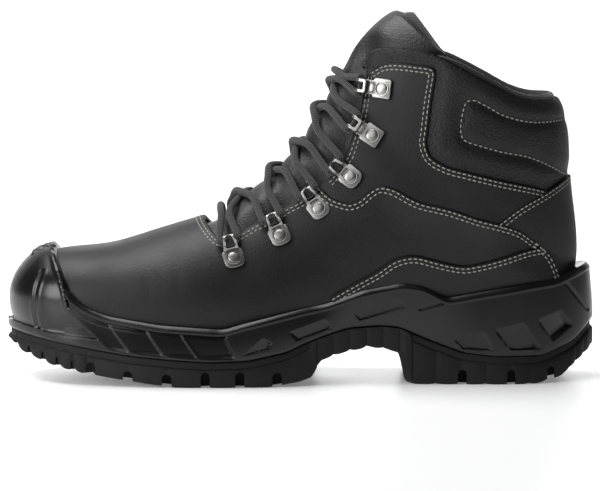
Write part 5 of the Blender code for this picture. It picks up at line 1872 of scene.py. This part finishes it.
def stitch_rows():
    """Every row of stitches: its points and the leather's direction out at each."""
    gap = sizes().rows
    margin = sizes().margin
    rows = []
    for side, _ in SIDES:
        lap = float(seam(VAMP_SEAM, side, margin, True)[0, 0])
        top = float(seam(CUFF_SEAM, side, margin, True)[0, 0])
        table = [
            (seam(points, side, out), margin - out, height)
            for points, offsets, height in (
                (VAMP_SEAM[:14], (0.0, -gap), vamp_height),
                (VAMP_SEAM[13:], (0.0, -gap), guard_height),
                (GUARD_SEAM, (0.0, -gap), guard_height),
                (COUNTER_SEAM, (-margin, -margin - gap), counter_height),
                (CUFF_SEAM[:-1], (0.0, -gap), quarter_height),
                (CUFF_STITCH, (0.0,), cuff_height),
            )
            for out in offsets
        ]
        before, after, below = THROAT_GAPS
        for out in (margin + THROAT_MARGIN, margin + THROAT_MARGIN + gap):
            table.append((throat_row(THROAT + 0.001, lap - before, side, out), out, vamp_height))
            table.append((throat_row(lap + after, top - below, side, out), out, quarter_height))
        for uv, far, height in table:
            u, t = uv.T
            place = form(u, t, side)
            lift = height(place, uv, side, np.full(len(u), max(far, 1.0)))
            way = slopes(u, np.clip(t, RIDGE, 1), side)[2]
            rows.append((lifted(u, t, side, lift + STITCH_LIFT), way))
    return rows


def stitch_tree():
    """Geometry nodes that set a stitch at every pitch along rows of points."""
    tree = bpy.data.node_groups.new("stitches", "GeometryNodeTree")
    tree.interface.new_socket("Rows", in_out="INPUT", socket_type="NodeSocketGeometry")
    for name in ("Pitch", "Length", "Thread"):
        tree.interface.new_socket(name, in_out="INPUT", socket_type="NodeSocketFloat")
    tree.interface.new_socket("Material", in_out="INPUT", socket_type="NodeSocketMaterial")
    tree.interface.new_socket("Stitches", in_out="OUTPUT", socket_type="NodeSocketGeometry")
    given = tree.nodes.new("NodeGroupInput").outputs
    curve = add(tree, "GeometryNodeMeshToCurve", {"Mesh": given["Rows"]}).outputs["Curve"]
    spaced = {"Curve": curve, "Length": given["Pitch"]}
    places = add(tree, "GeometryNodeCurveToPoints", spaced, mode="LENGTH").outputs
    lift = add(tree, "GeometryNodeInputNamedAttribute", {"Name": "lift"}, data_type="FLOAT_VECTOR").outputs
    align = "FunctionNodeAlignRotationToVector"
    ahead = add(tree, align, {"Vector": places["Tangent"]}, axis="X").outputs["Rotation"]
    facing = {"Rotation": ahead, "Vector": lift["Attribute"]}
    upright = add(tree, align, facing, axis="Z", pivot_axis="X").outputs["Rotation"]
    ball = add(tree, "GeometryNodeMeshUVSphere", {"Segments": 8, "Rings": 6, "Radius": 0.5}).outputs["Mesh"]
    lengths = {"X": given["Length"], "Y": given["Thread"], "Z": given["Thread"]}
    size = add(tree, "ShaderNodeCombineXYZ", lengths).outputs["Vector"]
    grain = add(tree, "GeometryNodeTransform", {"Geometry": ball, "Scale": size}).outputs["Geometry"]
    spread = {"Points": places["Points"], "Instance": grain, "Rotation": upright}
    each = add(tree, "GeometryNodeInstanceOnPoints", spread).outputs["Instances"]
    real = add(tree, "GeometryNodeRealizeInstances", {"Geometry": each}).outputs["Geometry"]
    painted = add(tree, "GeometryNodeSetMaterial", {"Geometry": real, "Material": given["Material"]})
    out = tree.nodes.new("NodeGroupOutput")
    tree.links.new(painted.outputs["Geometry"], out.inputs["Stitches"])
    return tree


def make_stitching():
    """Stitches of all the seams, as one mesh."""
    rows = stitch_rows()
    starts = np.cumsum([0, *(len(row) for row, _ in rows)])
    edges = [(i, i + 1) for a, b in zip(starts, starts[1:]) for i in range(a, b - 1)]
    guide = bpy.data.meshes.new("rows")
    guide.from_pydata(metres(np.vstack([row for row, _ in rows])), edges, [])
    lift = guide.attributes.new("lift", "FLOAT_VECTOR", "POINT")
    lift.data.foreach_set("vector", np.vstack([way for _, way in rows]).astype(np.float32).reshape(-1))
    holder = placed("rows", guide)
    tree = stitch_tree()
    maker = holder.modifiers.new("stitches", "NODES")
    maker.node_group = tree
    held = bpy.context.scene.boot_sizes
    values = {"Pitch": held.pitch, "Length": held.stitch, "Thread": held.thread}
    values["Material"] = finish("sewing thread")
    for item in tree.interface.items_tree:
        if item.in_out == "INPUT" and item.name in values:
            maker[item.identifier] = values[item.name]
    mesh = solid_from(holder)
    mesh.name = "stitches"
    mesh.shade_smooth()
    piece("stitches", mesh, "sewing thread", "textile")


class BOOT_OT_stitching(bpy.types.Operator):
    """Makes the stitches of all the seams"""

    bl_idname = "boot.stitching"
    bl_label = "Stitching"

    def execute(self, context):
        make_stitching()
        return {"FINISHED"}


class BOOT_OT_lining(bpy.types.Operator):
    """Makes the textile lining and the footbed"""

    bl_idname = "boot.lining"
    bl_label = "Lining and footbed"

    def execute(self, context):
        make_lining()
        make_insole()
        return {"FINISHED"}


class BOOT_OT_panels(bpy.types.Operator):
    """Makes the leather panels and the toe cap"""

    bl_idname = "boot.panels"
    bl_label = "Leather panels"

    def execute(self, context):
        make_panels()
        return {"FINISHED"}


class BOOT_OT_sole(bpy.types.Operator):
    """Makes the midsole and the outsole"""

    bl_idname = "boot.sole"
    bl_label = "Sole"

    def execute(self, context):
        make_midsole()
        make_outsole()
        return {"FINISHED"}


class BOOT_OT_tongue(bpy.types.Operator):
    """Makes the padded tongue"""

    bl_idname = "boot.tongue"
    bl_label = "Tongue"

    def execute(self, context):
        make_tongue()
        return {"FINISHED"}


class BOOT_OT_lacing(bpy.types.Operator):
    """Makes the lace rings, hooks and lace"""

    bl_idname = "boot.lacing"
    bl_label = "Lacing"

    def execute(self, context):
        make_hardware()
        make_lace()
        return {"FINISHED"}


# Floor in metres: half width and reach to the front, start of its curve, the curve's radius and its top.
# Then its own glow
FLOOR_HALF = 4.0
FLOOR_BACK = 3.0
FLOOR_CURVE = 0.6
FLOOR_TOP = 3.0
FLOOR_GLOW = 0.17
# Lamps: name, place, aim and size in metres, and power in watts
LAMPS = (
    ("top", (-0.5, 0.2, 1.5), (-0.02, 0, 0.05), 1.3, 31.0),
    ("toe", (-1.7, -0.95, 0.55), (-0.1, 0, 0.05), 0.8, 15.0),
    ("heel", (1.5, 0.3, 0.7), (0.1, 0, 0.08), 0.7, 0.5),
    ("front", (-1.5, -1.8, 1.5), (0, 0, 0.08), 1.7, 15.0),
    ("back", (0.0, 2.9, 1.3), (0, 3.8, 0.5), 0.9, 28.0),
)
# Light from all round: colour and strength
SKY = ("#f2f4f8", 0.08)
# Camera: distance in millimetres, rise in degrees, aim in millimetres, a pixel's millimetres at the aim, the
# frame's width in pixels, the film's in millimetres, and how far it sees in metres
CAMERA_DISTANCE = 2200.0
CAMERA_RISE = 5.5
CAMERA_AIM = (0.0, 0.0, 68.0)
PIXEL = 0.52
FRAME_WIDTH = 600
FILM_WIDTH = 36.0
VIEW_END = 50.0


def make_stage():
    """Pale floor that curves up behind the boot, soft studio light and the camera."""
    turn = np.linspace(0, math.pi / 2, 24)
    arc = [(FLOOR_BACK + FLOOR_CURVE * math.sin(a), FLOOR_CURVE - FLOOR_CURVE * math.cos(a)) for a in turn]
    profile = [(-FLOOR_HALF, 0.0), (0.0, 0.0), *arc, (FLOOR_BACK + FLOOR_CURVE, FLOOR_TOP)]
    points = [(x, y, z) for x in (-FLOOR_HALF, FLOOR_HALF) for y, z in profile]
    count = len(profile)
    mesh = bpy.data.meshes.new("floor")
    mesh.from_pydata(points, [], strip(range(count), range(count, 2 * count)))
    mesh.shade_smooth()
    glow = {"Emission Color": colour("#ffffff"), "Emission Strength": FLOOR_GLOW}
    values = {"Base Color": colours().floor, "Roughness": 0.32, "Specular IOR Level": 0.2, **glow}
    mesh.materials.append(new_material("floor paint", values)[0])
    floor = placed("floor", mesh)
    for name, place, aim, size, power in LAMPS:
        lamp = bpy.data.lights.new(name, "AREA")
        lamp.size = size
        lamp.energy = power
        obj = placed(name, lamp)
        obj.location = place
        obj.rotation_euler = (Vector(aim) - Vector(place)).to_track_quat("-Z", "Y").to_euler()
    world = bpy.data.worlds.new("studio")
    world.use_nodes = True
    sky = world.node_tree.nodes["Background"].inputs
    sky["Color"].default_value = colour(SKY[0])
    sky["Strength"].default_value = SKY[1]
    bpy.context.scene.world = world
    bpy.context.scene.view_settings.view_transform = "Standard"
    lens = bpy.data.cameras.new("camera")
    lens.sensor_width = FILM_WIDTH
    lens.lens = lens.sensor_width * CAMERA_DISTANCE / (FRAME_WIDTH * PIXEL)
    lens.clip_end = VIEW_END
    rise = math.radians(CAMERA_RISE)
    away = Vector((0, -math.cos(rise), math.sin(rise)))
    camera = placed("camera", lens)
    camera.location = (Vector(CAMERA_AIM) + away * CAMERA_DISTANCE) * MM
    camera.rotation_euler = (-away).to_track_quat("-Z", "Y").to_euler()
    bpy.context.scene.camera = camera


class BOOT_OT_stage(bpy.types.Operator):
    """Makes the floor, the light and the camera"""

    bl_idname = "boot.stage"
    bl_label = "Stage"

    def execute(self, context):
        make_stage()
        return {"FINISHED"}


OPERATORS = (
    BOOT_OT_lining,
    BOOT_OT_panels,
    BOOT_OT_sole,
    BOOT_OT_tongue,
    BOOT_OT_lacing,
    BOOT_OT_stitching,
    BOOT_OT_stage,
)


class BOOT_PT_panel(bpy.types.Panel):
    """Lists the boot's operators and settings"""

    bl_idname = "BOOT_PT_panel"
    bl_label = "Safety boot"
    bl_space_type = "VIEW_3D"
    bl_region_type = "UI"
    bl_category = "Boot"

    def draw(self, context):
        for operator in OPERATORS:
            self.layout.operator(operator.bl_idname)
        for group in (context.scene.boot_sizes, context.scene.boot_colours):
            for name in group.__annotations__:
                self.layout.prop(group, name)


CLASSES = (BootSizes, BootColours, *OPERATORS, BOOT_PT_panel)


def register():
    """Registers the classes and the scene's settings."""
    for item in CLASSES:
        bpy.utils.register_class(item)
    bpy.types.Scene.boot_sizes = bpy.props.PointerProperty(type=BootSizes)
    bpy.types.Scene.boot_colours = bpy.props.PointerProperty(type=BootColours)


def unregister():
    """Removes the scene's settings and the classes."""
    del bpy.types.Scene.boot_colours
    del bpy.types.Scene.boot_sizes
    for item in reversed(CLASSES):
        bpy.utils.unregister_class(item)


def main():
    """Builds the boot and its stage."""
    register()
    bpy.ops.boot.lining()
    bpy.ops.boot.panels()
    bpy.ops.boot.sole()
    bpy.ops.boot.tongue()
    bpy.ops.boot.lacing()
    bpy.ops.boot.stitching()
    bpy.ops.boot.stage()


if __name__ == "__main__":
    main()
